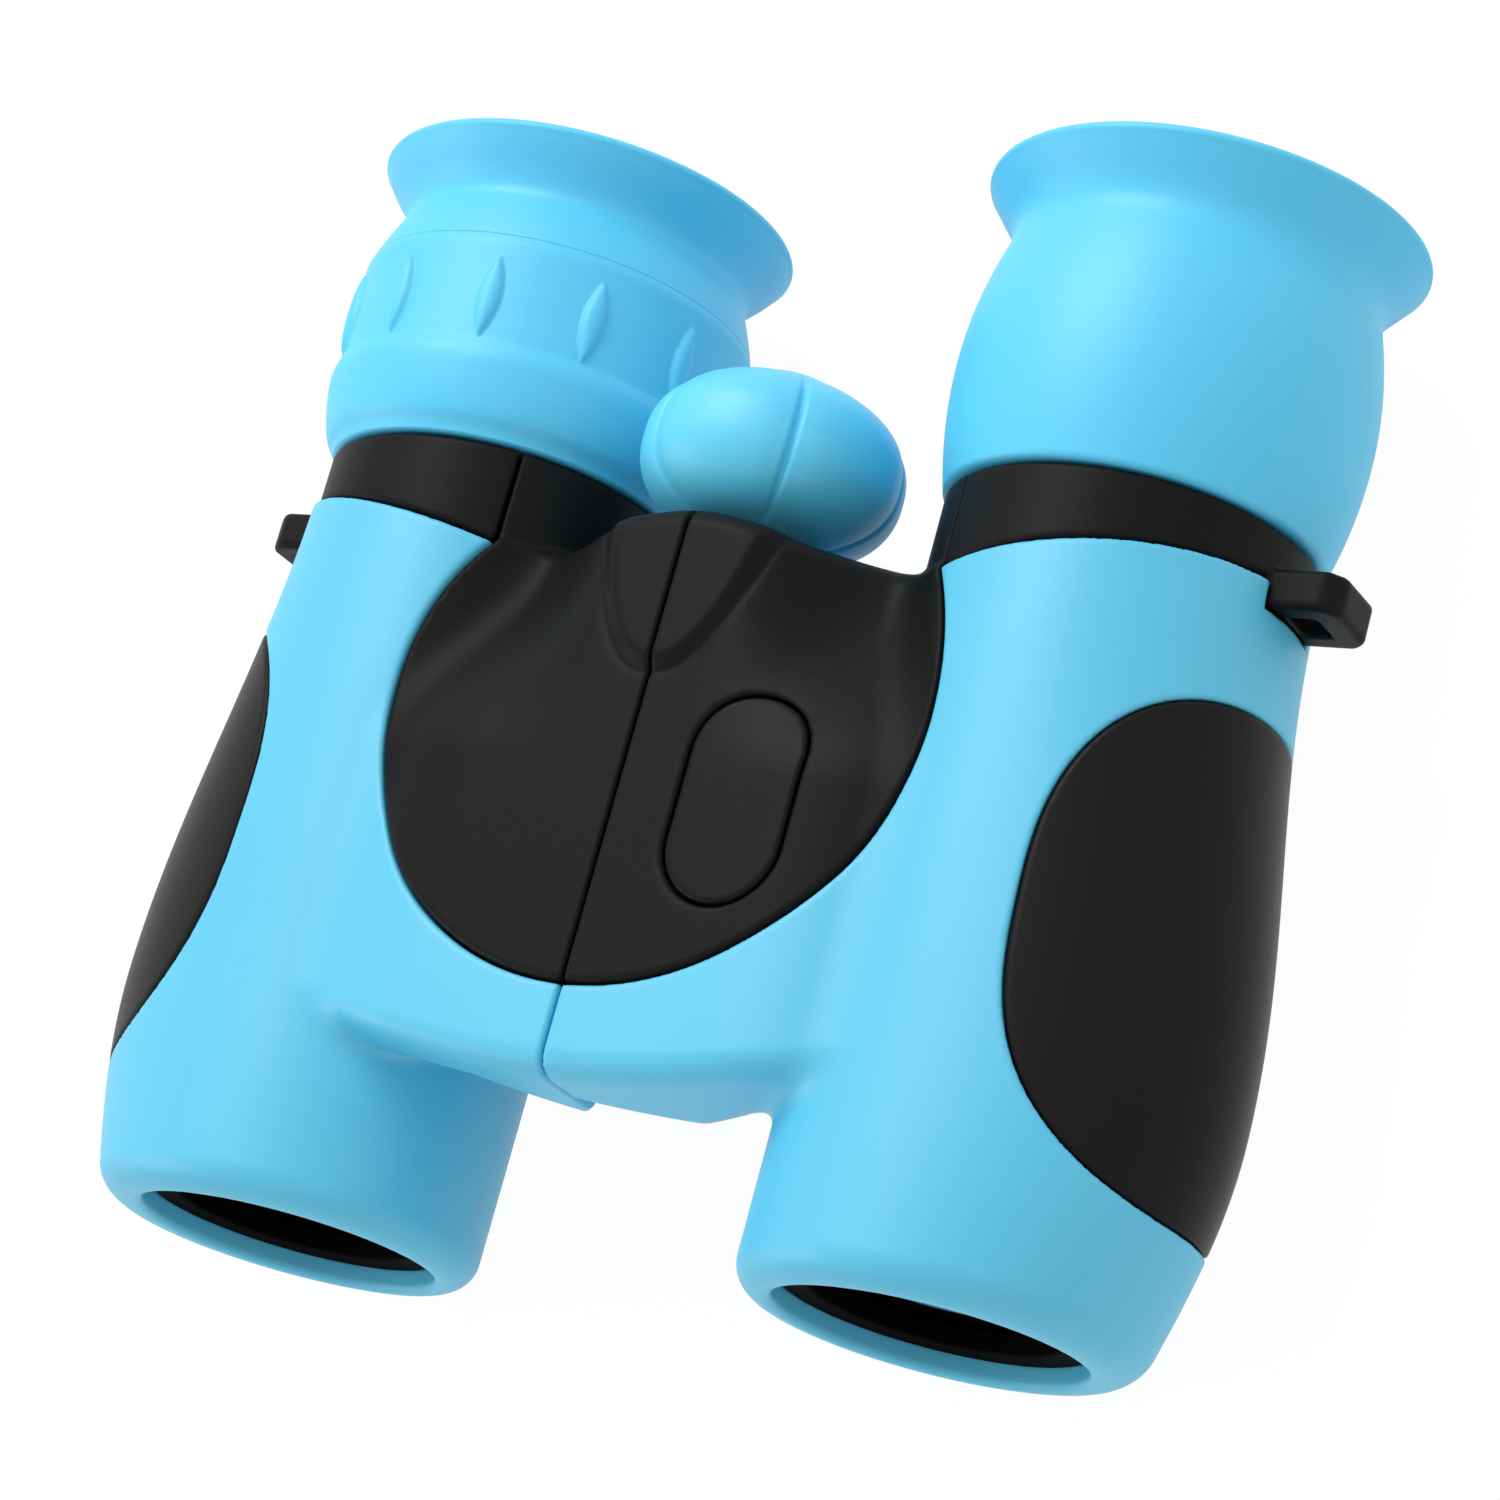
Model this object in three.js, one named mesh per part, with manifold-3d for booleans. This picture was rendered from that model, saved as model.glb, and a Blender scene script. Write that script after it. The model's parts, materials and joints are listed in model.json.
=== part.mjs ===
// Compact folding roof-prism binoculars for children.
// Millimetres, +Z up. The optical axes run along Y: objectives at -Y, eyepieces at +Y.
// Left and right are the user's own: the left barrel is at +X, the right barrel at -X.

import * as THREE from 'three';
import { mergeVertices } from 'three/addons/utils/BufferGeometryUtils.js';
import Module from 'manifold-3d';

const wasm = await Module();
wasm.setup();

// Driving dimensions of the barrels
const axisSpacing = 60;
const barrelSwell = 5.1;
const swellStation = 20;
const swellLead = 1.5;
const swellTail = 44;
const lipRound = 2.6;
const lipOverlap = 0.9;
const lipDepth = 2.4;
const rimStation = 59.3;
const rimSlope = 0.17;
const skinWall = 2;
const clearance = 0.3;

// Driving dimensions of the bridge between the barrels
const seamGap = 0.3;
const bridgeTop = 16.5;
const bridgeBottom = -7;
const bridgeFront = 12.4;
const frontBow = 0.006;
const frontRound = 2;
const noseLevel = 9.5;
const noseDrop = 4.5;
const noseReturn = 3.5;
const noseCentre = 8.8;
const noseReach = 16.8;
const chinLevel = 5;
const chinRise = 6;
const leastHollow = 0.5;
const noseSlope = 1.6;
const bridgeReach = 24.5;
const shoulderStart = 14;
const shoulderWidth = 10;
const shoulderDrop = 2.3;
const valleyStart = 38;
const valleyReach = 18;
const valleyDepth = 6.9;

// Driving dimensions of the top covers, badge and side grips
const coverRadius = 24.8;
const coverStation = 44.6;
const collarSeamAngle = 127;
const tongueHalfWidth = 6.8;
const tongueTip = 46.4;
const tongueFullness = 0.55;
const tongueCurl = 7;
const tongueRise = 0.5;
const badgeLength = 17.4;
const badgeWidth = 10;
const badgeOffset = 10.8;
const badgeStation = 36;
const badgeThickness = 0.9;
const gripStation = 30.1;
const gripHalfLength = 19.9;
const gripShoulder = 0.75;
const gripRoundness = 3.6;
const gripWall = 2;

// Driving dimensions of the strap collars
const collarWall = 1.6;
const collarDepth = 10;
const collarEnd = 66.1;
const lugStation = 59.4;
const lugThickness = 2.8;
const lugRootLength = 5;
const lugHalfHeight = 4.6;
const lugLength = 5.9;
const slotWidth = 2.3;
const slotHalfHeight = 2.8;
const lugBar = 1.7;

// Driving dimensions of the hinge
const hingeHeight = 7;
const knuckleRadius = 5.5;
const frontPinRadius = 2;
const bushRadius = 3.6;
const reliefSlope = 1.1;
const knuckleFront = 21;
const frontKnuckleLength = 3.1;
const rearKnuckleStart = 40;
const rearKnuckleLength = 5.4;
const pinHead = 0.8;
const washerRadius = 5;
const washerThickness = 0.8;

// Driving dimensions of the focus drive
const wheelGap = 1.14;
const wheelHalfLength = 7.3;
const wheelStation = 67.9;
const wheelHubRadius = 4.8;
const wheelFullness = 2.4;
const wheelLobes = 5;
const lobeFacets = 6;
const wheelGroove = 0.7;
const wheelTurn = 52.5;
const spindleRadius = 2;
const spindleStart = 28;
const screwHeadRadius = 3;
const screwHeadHeight = 1.2;
const screwChamfer = 0.6;
const screwShankRadius = 1.2;
const screwShankLength = 5;
const shuttleStation = 34;
const shuttleLength = 5.4;
const shuttleRadius = 4.6;
const shuttleNeckRadius = 3.1;
const forkWidth = 3;
const forkHeight = 3;
const focusTravel = 2.1;
const cellLength = 8;
const cellWall = 1.2;
const cellShelf = 1;

// Driving dimensions of the optics
const tubeRadius = 13.3;
const tubeWall = 1.3;
const lensSag = 1.1;
const lensMiddle = 0.55;
const lensLip = 0.4;
const objectiveStation = 2.9;
const objectiveThickness = 4.4;
const ringFlangeStation = 1.7;
const ringFlangeThickness = 0.7;
const ringFlangeDish = 0.3;
const ringLength = 8;
const holderStart = 42;
const holderLength = 17.6;
const prismWidth = 12.4;
const prismHeight = 14.2;
const prismAirGap = 0.4;
const prismSlant = 5.2;
const halfPrismFace = 3.4;
const roofDepth = 5;
const focusLensThickness = 3;
const eyepieceGap = 1.4;
const eyepieceShoulder = 67.4;
const eyepieceSink = 0.8;
const eyepieceStep = 0.8;
const eyepieceWall = 1.7;
const fieldLensInset = 2;
const eyeLensInset = 0.4;
const eyeLensThickness = 4.6;
const eyeLensLip = 1;

// Driving dimensions of the eyecups and the diopter ring
const eyecupStart = 66.4;
const eyecupEnd = 94.2;
const cupOverhang = 0.3;
const cupBellyRise = 2;
const cupBellyPart = 0.49;
const neckWall = 2.3;
const flangeHeight = 5.2;
const flangeReach = 3.2;
const flangeEdge = 0.7;
const bowlDepth = 2.2;
const shoulderHeight = 5;
const ringOverhang = 2.25;
const ringBandPart = 0.41;
const ringStep = 0.3;
const ribCount = 12;
const ribPart = 0.71;
const ribWidth = 2;
const ribHeight = 0.65;
const ribShift = 0.6;

// Facets round a large and a small circle
const roundSides = 28;
const smallSides = 16;

const halfSpacing = axisSpacing / 2;
const tubeBore = tubeRadius - tubeWall;
const skinBore = tubeRadius + clearance;
const innerFit = tubeBore - clearance;
const barrelRadius = skinBore + skinWall;
const openingRadius = tubeRadius - lipOverlap;
const gripHalfHeight = barrelRadius - gripShoulder;
const collarRadius = skinBore + collarWall;
const lugReach = collarRadius + lugLength;
const lensRadius = innerFit - cellWall;
const ringFlangeRadius = openingRadius - clearance;
const eyepieceSleeveRadius = innerFit + eyepieceStep;
const eyepieceStart = holderStart + holderLength + eyepieceGap;
const fieldLensStation = eyepieceStart + fieldLensInset;
const cupBore = eyepieceSleeveRadius + clearance;
const cupBaseRadius = collarRadius + cupOverhang;
const neckRadius = cupBore + neckWall;
const neckStation = eyecupEnd - flangeHeight;
const bowlFloorStation = neckStation - bowlDepth;
const cupBellyStation = eyecupStart + cupBellyPart * (neckStation - eyecupStart);
const eyepieceEnd = bowlFloorStation - eyepieceSink;
const eyeLensStation = eyepieceEnd - eyeLensLip - eyeLensThickness - eyeLensInset;
const cupBellyRadius = neckRadius + cupBellyRise;
const flangeRadius = neckRadius + flangeReach;
const ringBandRadius = collarRadius + ringOverhang;
const ringWaistRadius = ringBandRadius - ringStep;
const ringEnd = neckStation - shoulderHeight;
const ringBandEnd = eyecupStart + ringBandPart * (ringEnd - eyecupStart);
const ribLength = ribPart * (ringEnd - ringBandEnd);
const ribStation = (ringBandEnd + ringEnd) / 2 - ribShift;
const wheelRadius = halfSpacing - ringWaistRadius - ribHeight - wheelGap;
const far = 200;

// Solids from three.js geometry

function solidFrom(geometry) {
  geometry.deleteAttribute('normal');
  geometry.deleteAttribute('uv');
  const merged = mergeVertices(geometry, 1e-5);
  const points = merged.attributes.position.array;
  const faces = [];
  const index = merged.index.array;
  let volume = 0;
  const corner = (i) => new THREE.Vector3().fromArray(points, 3 * i);
  for (let i = 0; i < index.length; i += 3) {
    const [a, b, c] = [index[i], index[i + 1], index[i + 2]];
    if (a === b || b === c || c === a) continue;
    faces.push([a, b, c]);
    volume += corner(a).dot(corner(b).cross(corner(c)));
  }
  const outward = volume < 0 ? faces.map(([a, b, c]) => [a, c, b]) : faces;
  return solidFromArrays(points, outward.flat());
}

function solidFromArrays(points, triangles) {
  return new wasm.Manifold(new wasm.Mesh({
    numProp: 3,
    vertProperties: new Float32Array(points),
    triVerts: new Uint32Array(triangles),
  }));
}

// The same piece on the other side of the seam plane X = 0.
function mirrored(solid) {
  const mesh = solid.getMesh();
  const points = mesh.vertProperties.map((value, i) => (i % 3 === 0 ? -value : value));
  const triangles = mesh.triVerts.slice().reverse();
  return solidFromArrays(points, triangles);
}

function box(xs, ys, zs) {
  const geometry = new THREE.BoxGeometry(xs[1] - xs[0], ys[1] - ys[0], zs[1] - zs[0]);
  geometry.translate((xs[0] + xs[1]) / 2, (ys[0] + ys[1]) / 2, (zs[0] + zs[1]) / 2);
  return solidFrom(geometry);
}

// A turned piece about a line along Y through (x, z); the profile lists [radius, station] pairs.
function turned(profile, x = halfSpacing, z = 0, sides = roundSides) {
  const onAxis = profile[0][0] === 0;
  const loop = onAxis ? profile : [...profile, profile[0]];
  const points = loop.map(([radius, station]) => new THREE.Vector2(radius, station));
  return solidFrom(new THREE.LatheGeometry(points, sides).translate(x, 0, z));
}

function disc(radius, from, to, x = halfSpacing, z = 0, sides = roundSides) {
  return turned([[0, from], [radius, from], [radius, to], [0, to]], x, z, sides);
}

function tube(inner, outer, from, to, x = halfSpacing, z = 0, sides = roundSides) {
  return turned([[inner, from], [outer, from], [outer, to], [inner, to]], x, z, sides);
}

// An outline in the XY plane raised from z = low to z = high.
function raised(shape, low, high, curveSteps = 8) {
  const options = { depth: high - low, bevelEnabled: false, curveSegments: curveSteps };
  return solidFrom(new THREE.ExtrudeGeometry(shape, options).translate(0, 0, low));
}

// An outline drawn as (y, z) pushed along X from low to high.
function pushedAlongX(shape, low, high) {
  const geometry = new THREE.ExtrudeGeometry(shape, { depth: high - low, bevelEnabled: false });
  const axes = new THREE.Matrix4().makeBasis(
    new THREE.Vector3(0, 1, 0), new THREE.Vector3(0, 0, 1), new THREE.Vector3(1, 0, 0));
  return solidFrom(geometry.applyMatrix4(axes).translate(low, 0, 0));
}

// An outline drawn as (x, z) pushed along Y from low to high.
function pushedAlongY(shape, low, high) {
  const geometry = new THREE.ExtrudeGeometry(shape, { depth: high - low, bevelEnabled: false });
  const axes = new THREE.Matrix4().makeBasis(
    new THREE.Vector3(1, 0, 0), new THREE.Vector3(0, 0, 1), new THREE.Vector3(0, 1, 0));
  return solidFrom(geometry.applyMatrix4(axes).translate(0, low, 0));
}

function outline(pairs) {
  return new THREE.Shape(pairs.map(([u, v]) => new THREE.Vector2(u, v)));
}

// A skin over rings of points that follow one another along Y, closed at both ends.
function loft(rings) {
  const count = rings[0].length;
  const points = rings.flat();
  const triangles = [];
  for (let ring = 0; ring + 1 < rings.length; ring += 1) {
    for (let i = 0; i < count; i += 1) {
      const a = ring * count + i;
      const b = ring * count + (i + 1) % count;
      triangles.push(a, b, b + count, a, b + count, a + count);
    }
  }
  // Each end is a ladder of quads between the ring's first half and its second half.
  const last = (rings.length - 1) * count;
  for (let i = 0; i + 1 < count / 2; i += 1) {
    const [c, d] = [count - 2 - i, count - 1 - i];
    triangles.push(i + 1, i, c, c, i, d);
    triangles.push(last + i, last + i + 1, last + c, last + i, last + c, last + d);
  }
  const geometry = new THREE.BufferGeometry();
  geometry.setAttribute('position', new THREE.Float32BufferAttribute(
    points.flatMap((point) => point.toArray()), 3));
  geometry.setIndex(triangles);
  return solidFrom(geometry);
}

const smooth = (t) => {
  const u = Math.min(Math.max(t, 0), 1);
  return u * u * (3 - 2 * u);
};

// Outer form of a barrel: round on the inner side, swelling to a half ellipse on the outer side.

function swellAt(y) {
  if (y < swellStation) {
    return barrelSwell * Math.sin((Math.PI / 2) * (y + swellLead) / (swellStation + swellLead));
  }
  const tail = Math.min((y - swellStation) / swellTail, 1);
  return barrelSwell * Math.cos((Math.PI / 2) * tail) ** 2;
}

function barrelForm(inset) {
  const end = rimStation + rimSlope * (barrelRadius + barrelSwell) + clearance;
  const body = [0.16, 0.32, 0.5, 0.68, 0.84, 1].map((part) => part * end);
  const lip = [0, 0.4, 1].map((part) => {
    const angle = part * Math.PI / 2;
    return { y: lipRound * (1 - Math.cos(angle)), drop: lipRound * (1 - Math.sin(angle)) };
  });
  const stations = [...lip, ...body.map((y) => ({ y, drop: 0 }))];
  const rings = stations.map(({ y, drop }) => {
    const ring = [];
    for (let i = 0; i < roundSides; i += 1) {
      const angle = 2 * Math.PI * i / roundSides;
      const high = barrelRadius - inset - drop;
      const wide = Math.cos(angle) > 0 ? high + swellAt(y) : high;
      ring.push(new THREE.Vector3(halfSpacing + wide * Math.cos(angle), y, high * Math.sin(angle)));
    }
    return ring;
  });
  return loft(rings);
}

// Everything beyond the slanted eyepiece end of the armour.
function beyondRim(offset) {
  const [inner, outer] = [-halfSpacing, 3 * halfSpacing];
  const rim = (x) => rimStation + offset + rimSlope * (x - halfSpacing);
  return raised(outline([[inner, rim(inner)], [outer, rim(outer)], [outer, far], [inner, far]]), -far, far);
}

// Outer form of one half of the bridge, from the seam plane into the barrel.

function bridgeHeight(x, y) {
  const across = Math.min(Math.abs(x) / valleyReach, 1);
  const valley = smooth((y - valleyStart) / (rimStation - valleyStart));
  const dip = valleyDepth * Math.sin((Math.PI / 2) * across) ** 2;
  const shoulder = Math.max(Math.abs(x) - shoulderStart, 0) / shoulderWidth;
  return bridgeTop - shoulderDrop * shoulder ** 2 - valley * dip;
}

// The front edge dips to a nose on the left half; the right half is relieved so that it can fold.
function bridgeFloor(x, behindFront, deep) {
  const across = Math.abs(x);
  const down = Math.min(across / noseCentre, 1);
  const up = Math.min(Math.max((across - noseCentre) / (noseReach - noseCentre), 0), 1);
  const nose = deep ? noseLevel - noseDrop * down + noseReturn * up : chinLevel + chinRise * down;
  const floor = Math.max(nose - noseSlope * behindFront, bridgeBottom);
  return deep ? floor : Math.max(floor, hingeHeight - reliefSlope * across);
}

function bridgeForm(inset, deep, from = seamGap / 2, beyond = 0) {
  const xs = [
    from, noseCentre / 2, noseCentre, (noseCentre + shoulderStart) / 2, shoulderStart, valleyReach,
    (valleyReach + bridgeReach) / 2, bridgeReach,
  ];
  const rounding = [0, 0.2, 1, 2];
  const body = [0.3, 0.5, 0.68, 0.85, 1];
  const frontAt = (x) => bridgeFront + inset + frontBow * x * x;
  const ringAt = (stationAt, behind) => {
    const drop = behind < 1 ? frontRound * (1 - Math.sqrt(1 - (1 - behind) ** 2)) : 0;
    const top = xs.map((x) => {
      const y = stationAt(x);
      return new THREE.Vector3(x, y, bridgeHeight(x, y) - inset - drop);
    });
    const bottom = top.map(({ x, y, z }) => {
      const floor = bridgeFloor(x, y - frontAt(x), deep) + inset;
      return new THREE.Vector3(x, y, Math.min(floor, z - leastHollow));
    });
    return [...top, ...bottom.reverse()];
  };
  const end = rimStation + beyond;
  const startAt = (x) => frontAt(x) + rounding.at(-1) * frontRound;
  return loft([
    ...rounding.map((part) => ringAt((x) => frontAt(x) + part * frontRound, part)),
    ...body.map((part) => ringAt((x) => startAt(x) + part * (end - startAt(x)), rounding.at(-1))),
  ]);
}

// Hollow of one barrel and its half of the bridge, open at the seam and round the hinge at the wheel end.
function hollow(deep) {
  const bore = turned([
    [0, -lipDepth], [openingRadius, -lipDepth], [openingRadius, lipDepth], [skinBore, lipDepth],
    [skinBore, far], [0, far],
  ]);
  const driveStart = knuckleFront - pinHead - 2 * clearance;
  const drive = disc(knuckleRadius + 2 * clearance, driveStart, far, 0, hingeHeight, smallSides);
  return bore.add(bridgeForm(skinWall, deep, -skinWall, 2 * clearance - skinWall)).add(drive);
}

// Plan outline of the two top covers together, cut down to one half.
function coverPrism(grow) {
  const disk = new THREE.Shape();
  disk.absarc(0, coverStation, coverRadius + grow, -Math.PI / 2, Math.PI / 2);
  disk.lineTo(0, coverStation - coverRadius - grow);
  return raised(disk, hingeHeight - grow, far, 14);
}

function gripPrism(grow) {
  const points = [];
  const steps = 22;
  for (let i = 0; i < steps; i += 1) {
    const angle = 2 * Math.PI * i / steps;
    const part = (value) => Math.sign(value) * Math.abs(value) ** (2 / gripRoundness);
    points.push([
      gripStation + (gripHalfLength + grow) * part(Math.cos(angle)),
      (gripHalfHeight + grow) * part(Math.sin(angle)),
    ]);
  }
  return pushedAlongX(outline(points), halfSpacing, far);
}

// The sector of a collar that belongs to the top cover, on the side towards the hinge.
function innerSector(grow) {
  const angle = THREE.MathUtils.degToRad(collarSeamAngle);
  const shift = grow / Math.sin(angle);
  const [x, z] = [halfSpacing + far * Math.cos(angle), far * Math.sin(angle)];
  return pushedAlongY(outline([[halfSpacing + shift, 0], [x + shift, z], [x + shift, -z]]), 0, far);
}

function lugNotch() {
  const low = lugStation - clearance;
  const high = lugHalfHeight + clearance;
  return box([halfSpacing + tubeRadius, halfSpacing + far], [low, far], [-high, high]);
}

function armour(deep) {
  const gripBed = gripPrism(clearance).subtract(barrelForm(gripWall + clearance));
  const pastRim = beyondRim(0).intersect(disc(barrelRadius + barrelSwell, 0, far));
  return barrelForm(0)
    .add(bridgeForm(0, deep))
    .subtract(hollow(deep))
    .subtract(coverPrism(clearance))
    .subtract(gripBed)
    .subtract(pastRim)
    .subtract(lugNotch());
}

function tonguePrism() {
  const shape = new THREE.Shape();
  shape.moveTo(0, tongueTip);
  shape.bezierCurveTo(
    tongueHalfWidth * tongueFullness, tongueTip, tongueHalfWidth, rimStation - tongueCurl,
    tongueHalfWidth, rimStation);
  shape.lineTo(0, rimStation);
  return raised(shape, 0, far, 6);
}

function badgeOutline(grow) {
  const shape = new THREE.Shape();
  const radius = badgeWidth / 2 + grow;
  const straight = (badgeLength - badgeWidth) / 2;
  shape.absarc(badgeOffset, badgeStation + straight, radius, 0, Math.PI);
  shape.absarc(badgeOffset, badgeStation - straight, radius, Math.PI, 2 * Math.PI);
  return shape;
}

function badge() {
  return raised(badgeOutline(0), hingeHeight, far, 5)
    .intersect(bridgeForm(0, true))
    .subtract(bridgeForm(badgeThickness, true));
}

function topCover(deep) {
  const innerCollar = tube(skinBore, collarRadius, rimStation - collarDepth, collarEnd)
    .intersect(innerSector(0))
    .intersect(beyondRim(clearance));
  const plate = barrelForm(0)
    .subtract(beyondRim(2 * clearance))
    .add(bridgeForm(0, deep))
    .add(bridgeForm(-tongueRise, deep).intersect(tonguePrism()))
    .intersect(coverPrism(0))
    .subtract(hollow(deep));
  const cover = plate.add(innerCollar);
  if (!deep) return cover;
  const bed = bridgeForm(badgeThickness + clearance, deep);
  return cover.subtract(raised(badgeOutline(clearance), hingeHeight, far, 5).subtract(bed));
}

function sideGrip() {
  return barrelForm(0).intersect(gripPrism(0)).subtract(barrelForm(gripWall));
}

function strapCollar() {
  const ring = tube(skinBore, collarRadius, rimStation - collarDepth, collarEnd)
    .intersect(beyondRim(clearance))
    .subtract(innerSector(clearance));
  const tip = halfSpacing + lugReach;
  const high = [-lugHalfHeight, lugHalfHeight];
  const root = halfSpacing + skinBore + clearance;
  const loop = box([root, tip], [lugStation, lugStation + lugThickness], high);
  const rootTop = lugStation + lugRootLength;
  const foot = box([root, halfSpacing + collarRadius + lugBar / 2], [lugStation, rootTop], high);
  const slotEnd = tip - lugBar;
  const slot = box([slotEnd - slotWidth, slotEnd], [0, far], [-slotHalfHeight, slotHalfHeight]);
  return ring.add(loop).add(foot).subtract(slot);
}

// Barrel housing: the tube, the hinge knuckles and the ribs that carry them.

function knuckleSpan(start, length, place) {
  const from = start + place * (length + clearance);
  return [from, from + length];
}

function housing(deep, frontPlace, rearPlaces) {
  const knuckle = ([from, to]) => disc(knuckleRadius, from, to, 0, hingeHeight, smallSides);
  const rib = ([from, to]) => bridgeForm(skinWall + 2 * clearance, deep, seamGap)
    .intersect(box([0, far], [from, to], [-far, far]));
  const frontSpan = knuckleSpan(knuckleFront, frontKnuckleLength, frontPlace);
  const rearSpans = rearPlaces.map((place) => knuckleSpan(rearKnuckleStart, rearKnuckleLength, place));
  const pinHole = disc(
    frontPinRadius + clearance, 0, spindleStart, 0, hingeHeight, smallSides);
  const bushHole = disc(bushRadius + clearance, spindleStart, far, 0, hingeHeight, smallSides);
  const shell = disc(tubeRadius, ringFlangeStation + ringFlangeThickness + clearance, collarEnd);
  const slotHalfLength = forkWidth / 2 + focusTravel + 2 * clearance;
  const forkSlot = box(
    [0, halfSpacing],
    [shuttleStation - slotHalfLength, shuttleStation + slotHalfLength],
    [hingeHeight - forkHeight / 2 - clearance, hingeHeight + forkHeight / 2 + clearance]);
  return [frontSpan, ...rearSpans]
    .reduce((sum, span) => sum.add(rib(span)).add(knuckle(span)), shell)
    .subtract(disc(tubeBore, -1, far))
    .subtract(pinHole)
    .subtract(bushHole)
    .subtract(forkSlot);
}

function hingePin() {
  const start = knuckleFront - pinHead - clearance;
  const end = knuckleSpan(knuckleFront, frontKnuckleLength, 1)[1];
  const head = frontPinRadius + pinHead;
  return turned([
    [0, start], [head, start], [head, start + pinHead], [frontPinRadius, start + pinHead],
    [frontPinRadius, end], [0, end],
  ], 0, hingeHeight, smallSides);
}

function hingeBush() {
  const end = knuckleSpan(rearKnuckleStart, rearKnuckleLength, 2)[1];
  return tube(spindleRadius + clearance, bushRadius, rearKnuckleStart, end, 0, hingeHeight, smallSides);
}

function hingeWasher() {
  const start = knuckleSpan(rearKnuckleStart, rearKnuckleLength, 2)[1] + clearance;
  return tube(spindleRadius + clearance, washerRadius, start, start + washerThickness,
    0, hingeHeight, smallSides);
}

// Focus drive: a lobed wheel on a spindle, and a shuttle that both focus forks follow.

function focusWheel() {
  const facets = wheelLobes * lobeFacets;
  const turn = THREE.MathUtils.degToRad(wheelTurn);
  const stations = [-1, -0.9, -0.6, 0, 0.6, 0.9, 1];
  const rings = stations.map((part) => {
    const ring = [];
    for (let i = 0; i < facets; i += 1) {
      const angle = turn + 2 * Math.PI * i / facets;
      const belly = wheelRadius * Math.sqrt(1 - Math.abs(part) ** wheelFullness);
      const groove = i % lobeFacets === 0 ? wheelGroove : 0;
      const radius = Math.max(belly, wheelHubRadius) - groove;
      ring.push(new THREE.Vector3(
        radius * Math.cos(angle),
        wheelStation + part * wheelHalfLength,
        hingeHeight + radius * Math.sin(angle)));
    }
    return ring;
  });
  const recess = wheelStation + wheelHalfLength - screwHeadHeight - clearance;
  return loft(rings)
    .subtract(disc(spindleRadius + clearance, 0, far, 0, hingeHeight, smallSides))
    .subtract(disc(screwHeadRadius + clearance, recess, far, 0, hingeHeight, smallSides));
}

function spindleEnd() {
  return wheelStation + wheelHalfLength - screwHeadHeight - 2 * clearance;
}

function focusSpindle() {
  const end = spindleEnd();
  const hole = screwShankRadius + clearance;
  const depth = end - screwShankLength - clearance;
  return turned([
    [0, spindleStart], [spindleRadius, spindleStart], [spindleRadius, end], [hole, end],
    [hole, depth], [0, depth],
  ], 0, hingeHeight, smallSides);
}

function focusWheelScrew() {
  const seat = spindleEnd() + clearance;
  return turned([
    [0, seat - screwShankLength], [screwShankRadius, seat - screwShankLength],
    [screwShankRadius, seat], [screwHeadRadius, seat],
    [screwHeadRadius, seat + screwChamfer], [screwHeadRadius - screwChamfer, seat + screwHeadHeight],
    [0, seat + screwHeadHeight],
  ], 0, hingeHeight, smallSides);
}

function focusShuttle() {
  const [from, to] = [shuttleStation - shuttleLength / 2, shuttleStation + shuttleLength / 2];
  const neck = forkWidth / 2 + clearance;
  const bore = spindleRadius + clearance;
  return turned([
    [bore, from], [shuttleRadius, from], [shuttleRadius, shuttleStation - neck],
    [shuttleNeckRadius, shuttleStation - neck], [shuttleNeckRadius, shuttleStation + neck],
    [shuttleRadius, shuttleStation + neck], [shuttleRadius, to], [bore, to],
  ], 0, hingeHeight, smallSides);
}

// A lens cell that slides in the barrel, with the arm and fork that ride in the shuttle's neck.
function focusCell() {
  const [from, to] = [shuttleStation - cellLength / 2, shuttleStation + cellLength / 2];
  const ys = [shuttleStation - forkWidth / 2, shuttleStation + forkWidth / 2];
  const zs = [hingeHeight - forkHeight / 2, hingeHeight + forkHeight / 2];
  const shelf = lensRadius - cellShelf;
  const ring = turned([
    [shelf, from], [innerFit, from], [innerFit, to], [lensRadius, to],
    [lensRadius, shuttleStation], [shelf, shuttleStation],
  ], halfSpacing, 0, smallSides);
  const forkBore = shuttleNeckRadius + clearance;
  const forkOuter = knuckleRadius - clearance;
  const sector = outline([
    [seamGap, hingeHeight], [forkOuter, hingeHeight + 2 * forkOuter],
    [2 * forkOuter, hingeHeight + 2 * forkOuter], [2 * forkOuter, hingeHeight - 2 * forkOuter],
    [forkOuter, hingeHeight - 2 * forkOuter],
  ]);
  const fork = tube(forkBore, forkOuter, ys[0], ys[1], 0, hingeHeight, smallSides)
    .intersect(pushedAlongY(sector, 0, far));
  const reach = halfSpacing - Math.sqrt(innerFit ** 2 - (hingeHeight + forkHeight / 2) ** 2) + cellWall;
  const arm = box([(forkBore + forkOuter) / 2, reach], ys, zs)
    .subtract(disc(lensRadius + clearance, 0, far));
  return ring.add(arm).add(fork);
}

// Optics

function lens(radius, station, thickness) {
  const sag = Math.min(lensSag, thickness / 3);
  const end = station + thickness;
  const half = radius * lensMiddle;
  const halfSag = sag * lensMiddle ** 2;
  return turned([
    [0, station], [half, station + halfSag], [radius, station + sag],
    [radius, end - sag], [half, end - halfSag], [0, end],
  ], halfSpacing, 0, smallSides);
}

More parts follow.
